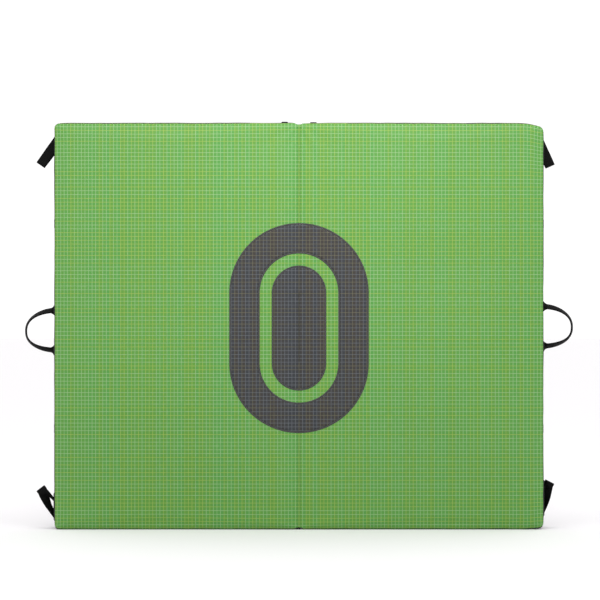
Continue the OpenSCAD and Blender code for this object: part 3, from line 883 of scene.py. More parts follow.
def box_stitch(center, right, up, width, height, cross=True):
    """A sewn rectangle with a cross in it, as on the ends of load-bearing straps."""
    center, right, up = np.array(center, float), unit(right), unit(up)
    c = [center + right * a * width / 2 + up * b * height / 2
         for a, b in ((-1, -1), (1, -1), (1, 1), (-1, 1))]
    runs = [(c[0], c[1]), (c[1], c[2]), (c[2], c[3]), (c[3], c[0])]
    if cross:
        runs += [(c[0], c[2]), (c[3], c[1])]
    return [stitch_line(run, np.cross(right, up), 3.2 * MM) for run in runs]


def bartack(center, right, up, width):
    """A dense zigzag of thread across a strap."""
    center, right, up = np.array(center, float), unit(right), unit(up)
    at = np.arange(-width / 2, width / 2, 0.9 * MM)
    zig = np.where(np.arange(len(at)) % 2, 1, -1)[:, None]
    return [dash_part(center + at[:, None] * right, up + zig * 0.22 * right, np.cross(right, up),
                      length=3.6 * MM, width=0.8 * MM, proud=0.5 * MM)]


stitches = {}


def sew(body, parts):
    stitches.setdefault(body, []).extend(parts)


def fabric_piece(name, parts, material, body=None, replaces=(), subdivide=False):
    piece = weld(joined(name, parts, material), 0.01 * MM)
    if subdivide:
        modifier(piece, "SUBSURF", levels=1, render_levels=1)
    if replaces:
        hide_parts(*replaces)
    if body:
        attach(piece, body)
    return piece


def web_piece(name, parts, body=None, replaces=()):
    return fabric_piece(name, parts, WEBBING, body, replaces)


# --- where the shell's surfaces lie, for everything sewn to them ---

def surface(*objects):
    """A tree of what the objects look like with their modifiers, for finding points on them."""
    graph = bpy.context.evaluated_depsgraph_get()
    points, faces = [], []
    for obj in objects:
        seen = obj.evaluated_get(graph)
        mesh = seen.to_mesh()
        start = len(points)
        points += [v.co.copy() for v in mesh.vertices]
        faces += [[start + i for i in poly.vertices] for poly in mesh.polygons]
        seen.to_mesh_clear()
    return BVHTree.FromPolygons(points, faces)


def probe(tree, axis, start, a, b, missed):
    """Where rays that come along an axis, from the start plane toward the mat's middle, meet a
    surface. a and b are the rays' other two coordinates, in order."""
    a, b = np.broadcast_arrays(np.asarray(a, float), np.asarray(b, float))
    points = np.insert(np.stack([a, b], -1), axis, start, -1)
    toward = -math.copysign(1, start)
    way = Vector([toward if k == axis else 0 for k in range(3)])
    found = [tree.ray_cast(Vector(p), way)[3] for p in points.reshape(-1, 3)]
    return np.array([missed if d is None else start + toward * d for d in found]).reshape(a.shape)


def panel_y(x, z, back=False):
    """Y of the landing face or the back at points of the open mat."""
    if back:
        return probe(back_surface, 1, 1.0, x, z, BACK_Y)
    return probe(front_surface, 1, -1.0, x, z, FACE_Y)


def side_x(side, y, z):
    """X of the gusset at the mat's outer edge."""
    return probe(band_surface[side], 0, side * 1.0, y, z, side * EDGE_X)


def top_z(side, x, y):
    """Z of the gusset at the mat's top edge."""
    return probe(band_surface[side], 2, 2.0, x, y, MAT_H)


def edge_patch(side, y0, y1, z0, z1, thick=1.5 * MM):
    """A webbing patch flat on the gusset."""
    y, z = np.meshgrid(np.linspace(y0, y1, 9), np.linspace(z0, z1, 7), indexing="ij")
    base = np.stack([side_x(side, y, z) + side * 0.1 * MM, y, z], -1)
    return plate_part(base, (side, 0, 0), np.stack([z - z0, y - y0], -1), thick)


def edge_stitch(side, y, z, width, height, thick=1.5 * MM):
    x = float(side_x(side, y, z)) + side * (thick + 0.15 * MM)
    return box_stitch((x, y, z), (0, side, 0), (0, 0, 1), width, height)


def edge_bartacks(side, z, apart, width):
    """Two upright bartacks on a patch at the mat's edge, each as far from the middle as apart."""
    x = float(side_x(side, MID_Y, z)) + side * 1.7 * MM
    return [p for y in (MID_Y - apart, MID_Y + apart)
            for p in bartack((x, y, z), (0, 0, 1), (0, -side, 0), width)]


def back_patch(cx, cz, width, height, radius, thick):
    """A flat patch on the harness side, rounded at the corners."""
    gx, gz = (np.linspace(0, size, max(int(size / (8 * MM)), 3) + 1) for size in (width, height))
    x, z = np.meshgrid(gx, gz, indexing="ij")
    x, z = round_corners(x, z, width, height, (radius, radius))
    x, z = x + cx - width / 2, z + cz - height / 2
    base = np.stack([x, panel_y(x, z, back=True) + 0.1 * MM, z], -1)
    return plate_part(base, (0, 1, 0), np.stack([x, z], -1), thick)


def back_outline(cx, cz, width, height, radius, inset, lift):
    """Points round a rounded rectangle on the harness side, for topstitching."""
    w, h, r = width / 2 - inset, height / 2 - inset, max(radius - inset, 1 * MM)
    points = []
    for sx, sz, start in ((1, 1, 0), (-1, 1, 90), (-1, -1, 180), (1, -1, 270)):
        points += arc((cx + sx * (w - r), cz + sz * (h - r)), r, start, start + 90, 6)
    p = np.array(points + points[:1])
    t = distances(p)
    even = np.linspace(0, t[-1], int(t[-1] / (8 * MM)))
    x, z = np.interp(even, t, p[:, 0]), np.interp(even, t, p[:, 1])
    return np.stack([x, panel_y(x, z, back=True) + lift, z], -1)


front_surface = surface(landing_face())
band_surface = {side: surface(gusset(side)) for side in (-1, 1)}
back_surface = surface(*[back_cover(side) for side in (-1, 1)])


# --- emblem: a ring and a middle, sewn over the hinge ---

emblem_box = [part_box("left_emblem"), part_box("right_emblem")]
EMBLEM_W = emblem_box[1][1].x - emblem_box[0][0].x
EMBLEM_H = emblem_box[0][1].z - emblem_box[0][0].z
EMBLEM_Z = (emblem_box[0][1].z + emblem_box[0][0].z) / 2
EMBLEM_RING = 72 * MM
EMBLEM_SPACE = 34 * MM
SPINE = (EMBLEM_H - EMBLEM_W) / 2


def capsule_grid(radii):
    """Points (x, z) at the given distances from an upright line, in rows all the way round."""
    turn = np.radians(np.concatenate([np.arange(-90, -78, 1.5), np.arange(-78, 78, 4),
                                      np.arange(78, 90, 1.5)]))
    low, high = turn[turn < 0], turn[turn > 0]
    # the right side from bottom to top: a quarter turn, the straight and a quarter turn
    straight = np.linspace(-SPINE, SPINE, 25)
    turn = np.concatenate([low, np.zeros(len(straight)), high])
    spine = np.concatenate([np.full(len(low), -SPINE), straight, np.full(len(high), SPINE)])
    spine = np.concatenate([spine, [SPINE], spine[::-1][:-1]])
    out = np.concatenate([turn, [math.pi / 2], np.pi - turn[::-1][:-1]])
    r = np.asarray(radii)[:, None]
    return r * np.cos(out)[None], EMBLEM_Z + spine[None] + r * np.sin(out)[None]


def on_face(x, z, proud):
    return np.stack([x, panel_y(x, z) - proud, z], -1)


def emblem_sheet(radii):
    x, z = capsule_grid(radii)
    return grid_part(on_face(x, z, 0.7 * MM), wrapped(np.stack([x, z], -1)), close_cols=True)


def emblem_seam(radius):
    """The raised satin stitch over one edge of the emblem."""
    across = np.array([-2.4, -1.7, -0.8, 0, 0.8, 1.7, 2.4]) * MM
    height = np.array([-0.6, 0.75, 1.15, 1.25, 1.15, 0.75, -0.6]) * MM
    x, z = capsule_grid(radius + across)
    u = distances(np.stack([x[3], z[3]], 1), closed=True)
    uv = np.stack(np.broadcast_arrays(u[None], across[:, None]), -1)
    return grid_part(on_face(x, z, height[:, None]), uv, close_cols=True)


def emblem():
    outer = EMBLEM_W / 2
    inner = outer - EMBLEM_RING
    core = inner - EMBLEM_SPACE
    ring = np.linspace(inner, outer, 11)
    disc = np.concatenate([[0.01, 1.5, 3, 5], np.linspace(10, core / MM, 9)]) * MM
    sheet = fabric_piece("emblem", [emblem_sheet(ring), emblem_sheet(disc)], DARK_RIPSTOP,
                         replaces=("left_emblem", "right_emblem"))
    turn_out(sheet, (0, -1, 0))
    modifier(sheet, "SOLIDIFY", thickness=0.6 * MM, offset=-1)
    over_hinge(sheet)
    edge = fabric_piece("emblem_stitched_edge", [emblem_seam(r) for r in (inner, outer, core)],
                        SATIN)
    turn_out(edge, (0, -1, 0))
    over_hinge(edge)


emblem()


# --- foam, seen only where the shell is cut away ---

def foam_block(side, node, material):
    lo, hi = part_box(node)
    inset = 3 * MM
    w, h = hi.x - lo.x - 2 * inset, hi.z - lo.z - 2 * inset
    x, z = np.meshgrid(edge_lines(w, 60 * MM), edge_lines(h, 60 * MM), indexing="ij")
    x, z = round_corners(x, z, w, h, (6 * MM, 6 * MM))
    x, z = x + lo.x + inset, z + lo.z + inset
    front = lo.y + (3.5 * MM if "landing" in node else 0.2 * MM)
    back = hi.y - (3.5 * MM if "core" in node else 0.2 * MM)
    wave = 0.3 * MM * noise(x, z, 0.12, 5)
    base = np.stack([x, np.full_like(x, front) + wave, z], -1)
    part = plate_part(base, (0, 1, 0), np.stack([x, z], -1), back - front)
    piece = fabric_piece(node.replace("foam", "slab"), [part], material, PANEL[side],
                         (node,))
    modifier(piece, "BEVEL", width=2 * MM, segments=2, limit_method="ANGLE", angle_limit=0.9)


for side in (-1, 1):
    foam_block(side, SIDE_NAME[side] + "_landing_foam", SHEET_FOAM)
    foam_block(side, SIDE_NAME[side] + "_core_foam", CORE_FOAM)


# --- carry handles ---

PIVOT_X = EDGE_X + 5 * MM
HANDLE_Z = {-1: 0.497, 1: 0.507}
HANDLE_SPAN = 100 * MM
HANDLE_REACH = 76 * MM
HANDLE_SAG = 2.5 * MM
HANDLE_TWIST = math.radians(62)         # beside the patches
HANDLE_TIP_TWIST = math.radians(14)     # what the rest of the way to the tip adds


def handle(side):
    name, panel, z0 = SIDE_NAME[side] + "_handle", PANEL[side], HANDLE_Z[side]
    r = HANDLE_SPAN / 2
    # one leg, from the edge to the tip: how far out and how far from the middle, as shares
    turn = np.radians(np.arange(3, 90, 9.6))
    leg = [(-0.035, 1.0)] + [(math.sin(t), math.cos(t) ** 0.85) for t in turn]
    flat = [(a, -b) for a, b in leg] + [(1.0, 0.0)] + leg[::-1]
    keys = [(side * (EDGE_X + a * HANDLE_REACH), MID_Y + 0.8 * MM * math.sin(4 * k / len(flat)),
             z0 + b * r - HANDLE_SAG * max(a, 0) ** 2) for k, (a, b) in enumerate(flat)]
    # the left handle runs the other way, so its faces point outward as the right one's do
    path = spline(keys[::side], 2.5 * MM)
    in_plane = np.cross((0, 1, 0), unit(np.gradient(path, axis=0)))
    along = distances(path)
    near_end = np.minimum(along, along[-1] - along)
    twist = HANDLE_TWIST * smooth_step(near_end, 1 * MM, 17 * MM)
    twist = twist + HANDLE_TIP_TWIST * smooth_step(near_end, 14 * MM, 85 * MM)
    across = in_plane * np.cos(twist)[:, None] + np.array([0, 1, 0]) * np.sin(twist)[:, None]
    piece = web_piece(name + "_strap", [strap_part(path, across, thick=2.6 * MM)], None, (name,))
    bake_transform(piece)
    patches = []
    for z in (z0 - r, z0 + r):
        patches.append(edge_patch(side, MID_Y - 20 * MM, MID_Y + 20 * MM, z - 12.5 * MM,
                                  z + 12.5 * MM))
        for y in (MID_Y - 11.5 * MM, MID_Y + 11.5 * MM):
            sew(panel, edge_stitch(side, y, z, 13 * MM, 19 * MM))
        sew(panel, edge_bartacks(side, z, 2.6 * MM, 22 * MM))
    web_piece(name + "_patches", patches, panel, (name + "_tabs",))


for side in (-1, 1):
    handle(side)


# --- lashing loops: straps folded double ---

# side, height of the root, slope in degrees, length, how far above the root each layer leaves the
# edge, and how many degrees each is twisted there
LOOPS = {"left_top_loop": (-1, 0.961, -55, 60 * MM, (0, -3 * MM), (0, 8)),
         "left_bottom_loop": (-1, 0.055, 52, 57 * MM, (15 * MM, -22 * MM), (70, 70)),
         "right_top_loop": (1, 0.945, -66, 40 * MM, (0, -3 * MM), (0, 8)),
         "right_bottom_loop": (1, 0.086, 63, 34 * MM, (12 * MM, -38 * MM), (58, 72))}


def lashing_loop(name):
    side, z0, slope, length, rises, twists = LOOPS[name]
    tilt, panel = math.radians(slope), PANEL[side]
    along = np.array([side * math.cos(tilt), 0, math.sin(tilt)])
    across = np.array([-side * math.sin(tilt), 0, math.cos(tilt)])
    root = np.array([side * PIVOT_X, MID_Y, z0])

    def layer(y_side, rise, twist):
        """Rows from inside the edge to the fold: a point and the direction of the width."""
        rows = []
        # how far along, how many mm from the middle, and what share of the rise and twist is left
        for d, y, share in ((-12 * MM / math.cos(tilt), 1.3, 1.05), (-6 * MM, 1.3, 1.05),
                            (2 * MM, 1.6, 1), (9 * MM, 3.3, 0.97), (length * 0.5, 3.9, 0.72),
                            (length - 13 * MM, 3.6, 0.2), (length - 6 * MM, 3.3, 0),
                            (length - 2 * MM, 2.4, 0)):
            turn = math.radians(twist) * share
            point = root + along * d + np.array([0, y_side * y * MM, rise * share])
            width = across * math.cos(turn) + np.array([0, y_side, 0]) * math.sin(turn)
            rows.append(np.concatenate([point, width]))
        return rows

    first, second = layer(-1, rises[0], twists[0]), layer(1, rises[1], twists[1])
    tip = np.concatenate([root + along * (length - 0.4 * MM), across])
    rows = spline(np.array(first + [tip] + second[::-1]), 2 * MM)
    part = strap_part(rows[:, :3], rows[:, 3:], thick=1.9 * MM)
    piece = web_piece(name + "_strap", [part], None, (name,))
    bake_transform(piece)
    tall = min(11 * MM / math.cos(tilt), 22 * MM)
    low, high = z0 + min(rises) - tall * 0.8, z0 + max(rises) + tall
    sew(panel, edge_bartacks(side, (low + high) / 2, 6.5 * MM, high - low - 5 * MM))
    return edge_patch(side, MID_Y - 10 * MM, MID_Y + 10 * MM, low, high)


for side in (-1, 1):
    own = [lashing_loop(name) for name in LOOPS if LOOPS[name][0] == side]
    web_piece(SIDE_NAME[side] + "_loop_patches", own, PANEL[side],
              (SIDE_NAME[side] + "_loop_tabs",))


# --- closure straps and ring straps ---

CLOSURE_Z = {"upper": 0.765, "lower": 0.249}
CLOSURE_Y = BACK_Y - 16 * MM
STRAP_Y = BACK_Y + 5.2 * MM


def corner_strap(name, side, z, reach, body, doubled):
    """A strap from the gusset round the back corner to a bar, folded back on itself and sewn.
    doubled is how many mm of it lie double."""
    end_x, r = PIVOT_X - reach, 7 * MM
    flat = mm_from((EDGE_X, CLOSURE_Y), (2.6, -14), (2.7, -7))
    flat += mm_from((PIVOT_X, CLOSURE_Y), (-0.6, -1), (0, 5))
    flat += arc((PIVOT_X - r, STRAP_Y - r), r, 0, 90, 5)
    flat += mm_from((PIVOT_X, STRAP_Y), (-20, 0.3))
    flat += mm_from(((PIVOT_X - r + end_x) / 2, STRAP_Y), (0, 0.5))
    flat += mm_from((end_x, STRAP_Y), (16, 0.6), (8, 1.4))
    flat += arc((end_x, STRAP_Y), 3.0 * MM, 80, 280, 9)
    flat += mm_from((end_x, STRAP_Y), (8, -1.9), (14, -1.9), (doubled, -1.9))
    path = spline([(side * a, b, z) for a, b in flat], 2 * MM)
    piece = web_piece(name, [strap_part(path, (0, 0, 1), thick=2.0 * MM)], None, (body,))
    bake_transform(piece)
    sew(body, box_stitch((side * (end_x + 19 * MM), STRAP_Y + 1.75 * MM, z), (side, 0, 0),
                         (0, 0, -side), 14 * MM, 19 * MM))
    sew(PANEL[side], edge_stitch(side, CLOSURE_Y - 9.5 * MM, z, 9 * MM, 19 * MM, thick=3.6 * MM))
    return edge_patch(side, CLOSURE_Y - 15 * MM, CLOSURE_Y + 15 * MM, z - 14 * MM, z + 14 * MM)


def slider_turn_part(z):
    """The end of the strap, folded over the slider's middle bar and sewn behind it."""
    bar = (PIVOT_X - 170 * MM, STRAP_Y + 1.2 * MM)
    flat = mm_from(bar, (16, 0.9), (9, 1.0), (3.4, 1.4))
    flat += arc(mm_from(bar, (0, 1.4))[0], 2.9 * MM, 20, 160, 7)
    flat += mm_from(bar, (-3.4, 1.4), (-9, 1.0), (-16, 0.9))
    path = spline([(a, b, z) for a, b in flat], 1.2 * MM)
    return strap_part(path, (0, 0, 1), width=24.5 * MM, thick=1.3 * MM)


for which, z in CLOSURE_Z.items():
    for stem, body, side, reach, doubled in (("closure_", "closure_strap_", 1, 230 * MM, 30),
                                             ("ring_", "ring_loop_", -1, 62 * MM, 28)):
        tab = corner_strap(stem + which + "_strap", side, z, reach, body + which, doubled)
        web_piece(stem + which + "_patch", [tab], PANEL[side],
                  (SIDE_NAME[side] + "_closure_tabs",) if which == "upper" else ())
        if stem == "closure_":
            web_piece(stem + which + "_slider_turn", [slider_turn_part(z)], body + which)


# --- harness on the left half ---

HARNESS_X = center_of("harness_yoke")[0]
BELT_Z = center_of("lumbar_patch")[2]
YOKE_Z = 0.850
PAD_Y = BACK_Y + 3.5 * MM
SIDES = {"left": -1, "right": 1}
ON_BACK = ((-1, 0, 0), (0, 0, 1))      # right and up, for stitches seen from behind
CUSHION_STEP = 5.5 * MM
SHOULDER_X = 80 * MM        # how far the shoulder straps and their anchors are from the middle
SHOULDER_T = 15.5 * MM      # thickness of the shoulder pads
SHOULDER_L = 308 * MM
BELT_ROOT_X = 70 * MM       # how far from the middle the belt's wings turn
WING_MID = 87 * MM          # how far a wing's middle is from where it turns
WING_T = 12 * MM            # thickness of the wings


def hemmed_patch(name, node, cx, cz, width, height, radius):
    parts = [back_patch(cx, cz, width, height, radius, 1.7 * MM)]
    fabric_piece(name, parts, PAD_BLACK, "left_panel", (node,))
    for inset in (3.5 * MM, 8.5 * MM):
        line = back_outline(cx, cz, width, height, radius, inset, 1.85 * MM)
        sew("left_panel", [stitch_line(line, (0, 1, 0))])


hemmed_patch("yoke_patch", "harness_yoke", HARNESS_X, YOKE_Z + 25 * MM, 250 * MM, 80 * MM, 10 * MM)
hemmed_patch("lumbar_cloth", "lumbar_patch", HARNESS_X, BELT_Z, 152 * MM, 84 * MM, 10 * MM)


class Cushion:
    """A flat sewn pad: two layers joined at a seam all round, swollen by cloth simulation."""

    def __init__(self, width, height, thick, radius, sewn):
        gx, gz = (np.linspace(0, size, 2 * round(size / CUSHION_STEP / 2) + 1)
                  for size in (width, height))
        x, z = np.meshgrid(gx, gz, indexing="ij")
        x, z = round_corners(x, z, width, height, (radius, radius))
        self.x, self.z = x - width / 2, z - height / 2
        self.core = np.array([width / 2 - radius, 1, height / 2 - radius])
        reach = np.minimum(width / 2 - abs(self.x), height / 2 - abs(self.z))
        reach = np.clip(reach / (0.8 * thick), 0, 1)
        rise = (thick / 2 - 1.2 * MM) * np.sqrt(1 - (1 - reach) ** 2)
        self.loop = boundary_loop(*x.shape)
        n = x.size
        inner = np.setdiff1d(np.arange(n), self.loop)
        self.back = np.arange(n)
        self.back[inner] = n + np.arange(len(inner))
        front = np.stack([self.x, rise, self.z], -1).reshape(-1, 3)
        self.points = np.vstack([front, front[inner] * (1, -1, 1)])
        quads, _ = grid_quads(*x.shape)
        faces = np.vstack([quads, self.back[quads[:, ::-1]]])
        pinned = np.zeros(len(self.points))
        pinned[self.loop] = 1
        pinned[np.flatnonzero(sewn(self.x.ravel(), self.z.ravel()))] = 1
        moved = simulate(self.points, faces, pinned, pressure=5.0, frames=14)
        self.points = self.points + soft_cap(moved - self.points, 1.9 * MM)
        lump = 0.35 * MM * noise(self.points[:, 0], self.points[:, 2], 0.03, 21)
        self.points[:, 1] += lump * (pinned < 1)

    def top(self, x, z):
        """Height of the front layer over the pad's middle plane."""
        near = [np.argmin((self.x.ravel() - a) ** 2 + (self.z.ravel() - b) ** 2)
                for a, b in zip(x, z)]
        return self.points[near, 1]

    def parts(self, place):
        """Front and back layers, moved by the place function."""
        shape, uv = (*self.x.shape, 3), np.stack([self.x, self.z], -1)
        return [grid_part(place(self.points[:self.x.size]).reshape(shape), uv),
                grid_part(place(self.points[self.back]).reshape(shape), uv + (0.3, 0), flip=True)]

    def binding(self, place):
        """Tape folded over the edge seam."""
        edge = self.points[self.loop]
        outward = unit((edge - np.clip(edge, -self.core, self.core)) * (1, 0, 1))
        return [strap_part(place(edge - outward * 1.0 * MM), place.turn(outward), width=9 * MM,
                           thick=3.4 * MM, closed=True)]

    def piece(self, place, name, binding_name, node, body):
        """The pad in its place, with its binding."""
        pad = fabric_piece(name, self.parts(place), PAD_BLACK, body, (node,),
                           subdivide=True)
        web_piece(binding_name, self.binding(place), body)


class Place:
    """Puts a pad's points where they belong; turn does the same for directions."""

    def __init__(self, center, flip=1):
        self.center, self.flip = np.array(center, float), flip

    def turn(self, v):
        return np.asarray(v) * (self.flip, 1, 1)

    def __call__(self, p):
        return self.turn(p) + self.center


def flap(name, keys, across, width, body, start, end):
    """The cloth that hangs a pad from the panel."""
    piece = fabric_piece(name, [strap_part(spline(keys, 2 * MM), across, width=width)], PAD_BLACK)
    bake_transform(piece)


shoulder = Cushion(64 * MM, SHOULDER_L, SHOULDER_T, 14 * MM,
                   lambda x, z: (abs(x) < 11 * MM) & (abs(z) < 140 * MM))
wing = Cushion(150 * MM, 80 * MM, WING_T, 16 * MM,
               lambda x, z: (abs(z) < 17 * MM) & (abs(x) < 66 * MM))


def shoulder_strap(which):
    x0 = HARNESS_X + SIDES[which] * SHOULDER_X
    body, name = "shoulder_strap_" + which, "shoulder_pad_" + which
    at_x0 = lambda flat: [(x0, y, z) for y, z in flat]
    yc, zc = PAD_Y + SHOULDER_T / 2, YOKE_Z - 12 * MM - SHOULDER_L / 2
    shoulder.piece(Place((x0, yc, zc)), name + "_cover", name + "_binding", name, body)
    y_root = float(panel_y(x0, YOKE_Z + 20 * MM, back=True)) + 2.9 * MM
    keys = mm_from((y_root, YOKE_Z), (0, 24), (0.3, 10))
    keys += mm_from((BACK_Y, YOKE_Z), (5.6, 1), (8, -8))
    keys += mm_from((yc, YOKE_Z), (0, -15), (0, -24))
    flap("shoulder_flap_" + which, at_x0(keys), (1, 0, 0), 58 * MM, body,
         (x0, BACK_Y, YOKE_Z + 7 * MM), (x0, BACK_Y, YOKE_Z - 7 * MM))
    for width, cross in ((52 * MM, False), (22 * MM, True)):
        sew("left_panel", box_stitch((x0, y_root + 1.3 * MM, YOKE_Z + 17 * MM), *ON_BACK, width,
                                     10 * MM, cross))
    # webbing down the pad's front, round the ladder lock's upper bar and up behind
    lo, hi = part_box("ladder_lock_" + which)
    bar = ((lo.y + hi.y) / 2, hi.z - 2.7 * MM)
    down = np.linspace(YOKE_Z - 22 * MM, YOKE_Z - 318 * MM, 24)
    front = yc + shoulder.top(0 * down, down - zc) + 0.9 * MM
    keys = [*zip(front, down)]
    keys += mm_from(bar, (4.6, 9), (4.4, 2), (3.3, -2.6), (0, -4.4), (-3.3, -2.6), (-4.2, 3),
                    (-3.4, 12))
    keys += mm_from((yc, bar[1]), (-4, 24))
    web_piece(name + "_webbing",
              [strap_part(spline(at_x0(keys), 3 * MM), (-1, 0, 0), thick=1.9 * MM)], body)
    edge = np.stack([0 * down + x0, front + 1.0 * MM, down], -1)
    for dx in (-10 * MM, 10 * MM):
        sew(body, [stitch_line(edge + (dx, 0, 0), (0, 1, 0))])
    for k in (1, 8, 15, 22):
        sew(body, bartack(edge[k] + (0, 0.15 * MM, 0), *ON_BACK, 21 * MM))
    # webbing from the hook up behind the lock, through it and down in front as a tail
    lo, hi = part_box("harness_webbing_" + which)
    low_y, tail_y, hook_z, top = BACK_Y + 4.5 * MM, BACK_Y + 14.5 * MM, lo.z + 3.4 * MM, hi.z
    keys = mm_from((low_y, hook_z), (2.3, 30), (2.3, 14), (2.6, 7))
    keys += arc((low_y, hook_z), 3.1 * MM, 20, -200, 9)
    keys += mm_from((low_y, hook_z), (-0.4, 9), (-0.1, 25))
    keys += mm_from((low_y, top), (0, -12), (0.4, -4.5), (2.8, -1.6), (5, -1.1))
    keys += mm_from((tail_y, top), (-2.2, -1.8), (-0.3, -5), (0.2, -14), (-0.5, -30))
    keys += mm_from((tail_y, lo.z), (0.3, 18))
    hem = mm_from((tail_y, lo.z), (2.0, 18), (2.1, 32))
    parts = [strap_part(spline(at_x0(keys), 1.6 * MM), (1, 0, 0), thick=1.8 * MM),
             strap_part(spline(at_x0(hem), 3 * MM), (1, 0, 0), thick=1.6 * MM)]
    web_piece("harness_" + which + "_strap", parts, body, ("harness_webbing_" + which,))
    sew(body, bartack((x0, tail_y + 3.0 * MM, lo.z + 21 * MM), *ON_BACK, 20 * MM))
    sew(body, box_stitch((x0, low_y + 3.4 * MM, hook_z + 22 * MM), *ON_BACK, 18 * MM, 12 * MM))


def belt_wing(which):
    side, body = SIDES[which], "belt_" + which
    root_x = HARNESS_X + side * BELT_ROOT_X
    yc = PAD_Y + WING_T / 2
    at_belt = lambda flat: [(root_x + side * a, b, BELT_Z) for a, b in flat]
    wing.piece(Place(at_belt([(WING_MID, yc)])[0], side), "belt_pad_" + which,
               "belt_pad_" + which + "_binding", "belt_wing_" + which, body)
    y_root = float(panel_y(root_x - side * 14 * MM, BELT_Z, back=True)) + 2.9 * MM
    keys = mm_from((0, y_root), (-24, 0), (-9, 0.3)) + mm_from((0, BACK_Y), (0, 5.8), (9, 8.4))
    keys += mm_from((0, yc), (18, 0), (27, 0))
    flap("belt_flap_" + which, at_belt(keys), (0, 0, 1), 68 * MM, body,
         *at_belt([(-6 * MM, BACK_Y), (7 * MM, BACK_Y)]))
    sew("left_panel", box_stitch((root_x - side * 16 * MM, y_root + 1.3 * MM, BELT_Z), *ON_BACK,
                                 10 * MM, 60 * MM))
    # webbing across the pad's front to the buckle
    lo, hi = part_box("buckle_socket" if which == "left" else "buckle_plug")
    buckle = side * ((hi.x if which == "left" else lo.x) - root_x)
    out = np.linspace(20 * MM, 154 * MM, 16)
    front = yc + wing.top(out - WING_MID, 0 * out) + 0.9 * MM
    keys = [*zip(out, front)] + mm_from((0, BACK_Y), (164, 9.6), (174, 8))
    keys += mm_from((buckle, BACK_Y), (4, 8))
    parts = [strap_part(spline(at_belt(keys), 3 * MM), (0, 0, 1), width=38 * MM, thick=2.0 * MM)]
    web_piece("belt_" + which + "_strap", parts, body, ("belt_webbing_" + which,))
    edge = np.stack([root_x + side * out, front + 1.05 * MM, 0 * out + BELT_Z], -1)
    for dz in (-16 * MM, 16 * MM):
        sew(body, [stitch_line(edge + (0, 0, dz), (0, 1, 0))])
    for k in (1, 14):
        sew(body, bartack(edge[k] + (0, 0.15 * MM, 0), (0, 0, 1), (side, 0, 0), 32 * MM))


def anchor(which):
    """A bridge of webbing for the harness hook, sewn down at both ends."""
    x0 = HARNESS_X + SIDES[which] * SHOULDER_X
    z = center_of("harness_anchors")[2]
    half = [(0, 7.3), (8, 7.0), (13.5, 5.4), (17.5, 1.8), (22, 1.2), (28, 1.2)]
    flat = [(-a, b) for a, b in half[:0:-1]] + half
    base = panel_y([x0 + a * MM for a, _ in flat], z, back=True)
    keys = [(x0 + a * MM, y + b * MM, z) for (a, b), y in zip(flat, base)]
    for end in (-1, 1):
        y = float(panel_y(x0 + end * 23.5 * MM, z, back=True)) + 2.3 * MM
        for out in (21, 26):
            sew("left_panel", bartack((x0 + end * out * MM, y, z), (0, 0, 1), (1, 0, 0), 13 * MM))
    return strap_part(spline(keys, 1.8 * MM), (0, 0, 1), width=16 * MM, thick=1.9 * MM)


for which in SIDES:
    shoulder_strap(which)
    belt_wing(which)
web_piece("anchor_bridges", [anchor(which) for which in SIDES], "left_panel",
          ("harness_anchors",))


# --- zips and hinge tabs ---

def zip_line(side):
    name, panel = SIDE_NAME[side] + "_zip", PANEL[side]
    lo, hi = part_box(name)
    cx, _, cz = center_of(name)
    width, height = hi.x - lo.x, hi.z - lo.z
    tapes, coils = [], []
    at = np.arange(lo.x + 5 * MM, hi.x - 5 * MM, 1.5 * MM)
    for end in (-1, 1):
        tapes.append(back_patch(cx, cz + end * (height / 4 + 0.7 * MM), width,
                                height / 2 - 1.4 * MM, 2 * MM, 0.8 * MM))
        x = at + (0.75 * MM if end > 0 else 0)
        z = np.full_like(x, cz + end * 0.9 * MM)
        center = np.stack([x, panel_y(x, z, back=True) + 0.35 * MM, z], -1)
        coils.append(dash_part(center, (0, 0, 1), (0, 1, 0), length=3.4 * MM, width=1.0 * MM,
                               proud=0.7 * MM))
        x = np.linspace(lo.x + 3 * MM, hi.x - 3 * MM, 40)
        z = cz + end * 9 * MM
        line = np.stack([x, panel_y(x, z, back=True) + 1.0 * MM, 0 * x + z], -1)
        sew(panel, [stitch_line(line, (0, 1, 0))])
    web_piece(name + "_tape", tapes, panel, (name,))
    fabric_piece(name + "_coil", coils, PLASTIC, panel)


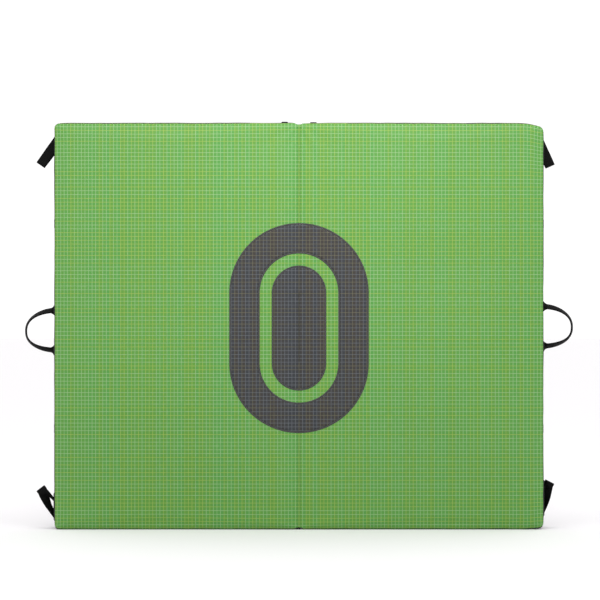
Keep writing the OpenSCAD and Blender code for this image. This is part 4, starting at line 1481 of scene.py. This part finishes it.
def hinge_tab(side):
    """Tape that binds the hinge seam's end over the top edge."""
    name, panel = SIDE_NAME[side] + "_hinge_tab", PANEL[side]
    lo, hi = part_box(name)
    y, x = np.meshgrid(np.linspace(lo.y, hi.y, 14), np.linspace(lo.x, hi.x, 5), indexing="ij")
    base = np.stack([x, y, top_z(side, x, y) + 0.1 * MM], -1)
    part = plate_part(base, (0, 0, 1), np.stack([x, y], -1), 1.5 * MM)
    web_piece(SIDE_NAME[side] + "_hinge_tape", [part], panel, (name,))
    for k in (1, 4, 7, 10, 12):
        sew(panel, bartack(base[k, 2] + (0, 0, 1.7 * MM), (1, 0, 0), (0, 1, 0), 13 * MM))


def gusset_topstitch(side):
    """A line of stitches beside each of the gusset's two seams."""
    normal = np.stack([side * shell.out[:, 0], 0 * shell.out[:, 0], shell.out[:, 1]], 1)
    for ring in (shell.gusset[1], shell.gusset[-2]):
        line = shaped[side][ring] + normal * 0.15 * MM
        sew(PANEL[side], [stitch_line(np.vstack([line, line[:1]]),
                                      np.vstack([normal, normal[:1]]), 4.4 * MM)])


for side in (-1, 1):
    zip_line(side)
    hinge_tab(side)
    gusset_topstitch(side)

for body, parts in stitches.items():
    fabric_piece(body + "_stitching", parts, THREAD, body)


# --- hardware: the CAD parts themselves, with softened edges ---

def hardware(names, material, width):
    for name in names:
        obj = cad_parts[name]
        obj.data.materials.clear()
        obj.data.materials.append(material)
        modifier(obj, "BEVEL", width=width, segments=2, limit_method="ANGLE", angle_limit=0.7,
                 use_clamp_overlap=True)
        modifier(obj, "WEIGHTED_NORMAL", keep_sharp=False)


both = lambda stem, ends: [stem + e for e in ends]
hardware(both("strap_slider_", CLOSURE_Z) + both("ladder_lock_", SIDES)
         + ["buckle_socket", "buckle_plug"], PLASTIC, 0.6 * MM)
hardware(both("closure_hook_", CLOSURE_Z) + both("closure_ring_", CLOSURE_Z)
         + both("harness_hook_", SIDES), METAL, 0.7 * MM)
hardware([s + e for s in SIDES for e in ("_zip_slider", "_zip_pull")], ZIP_METAL,
         0.35 * MM)
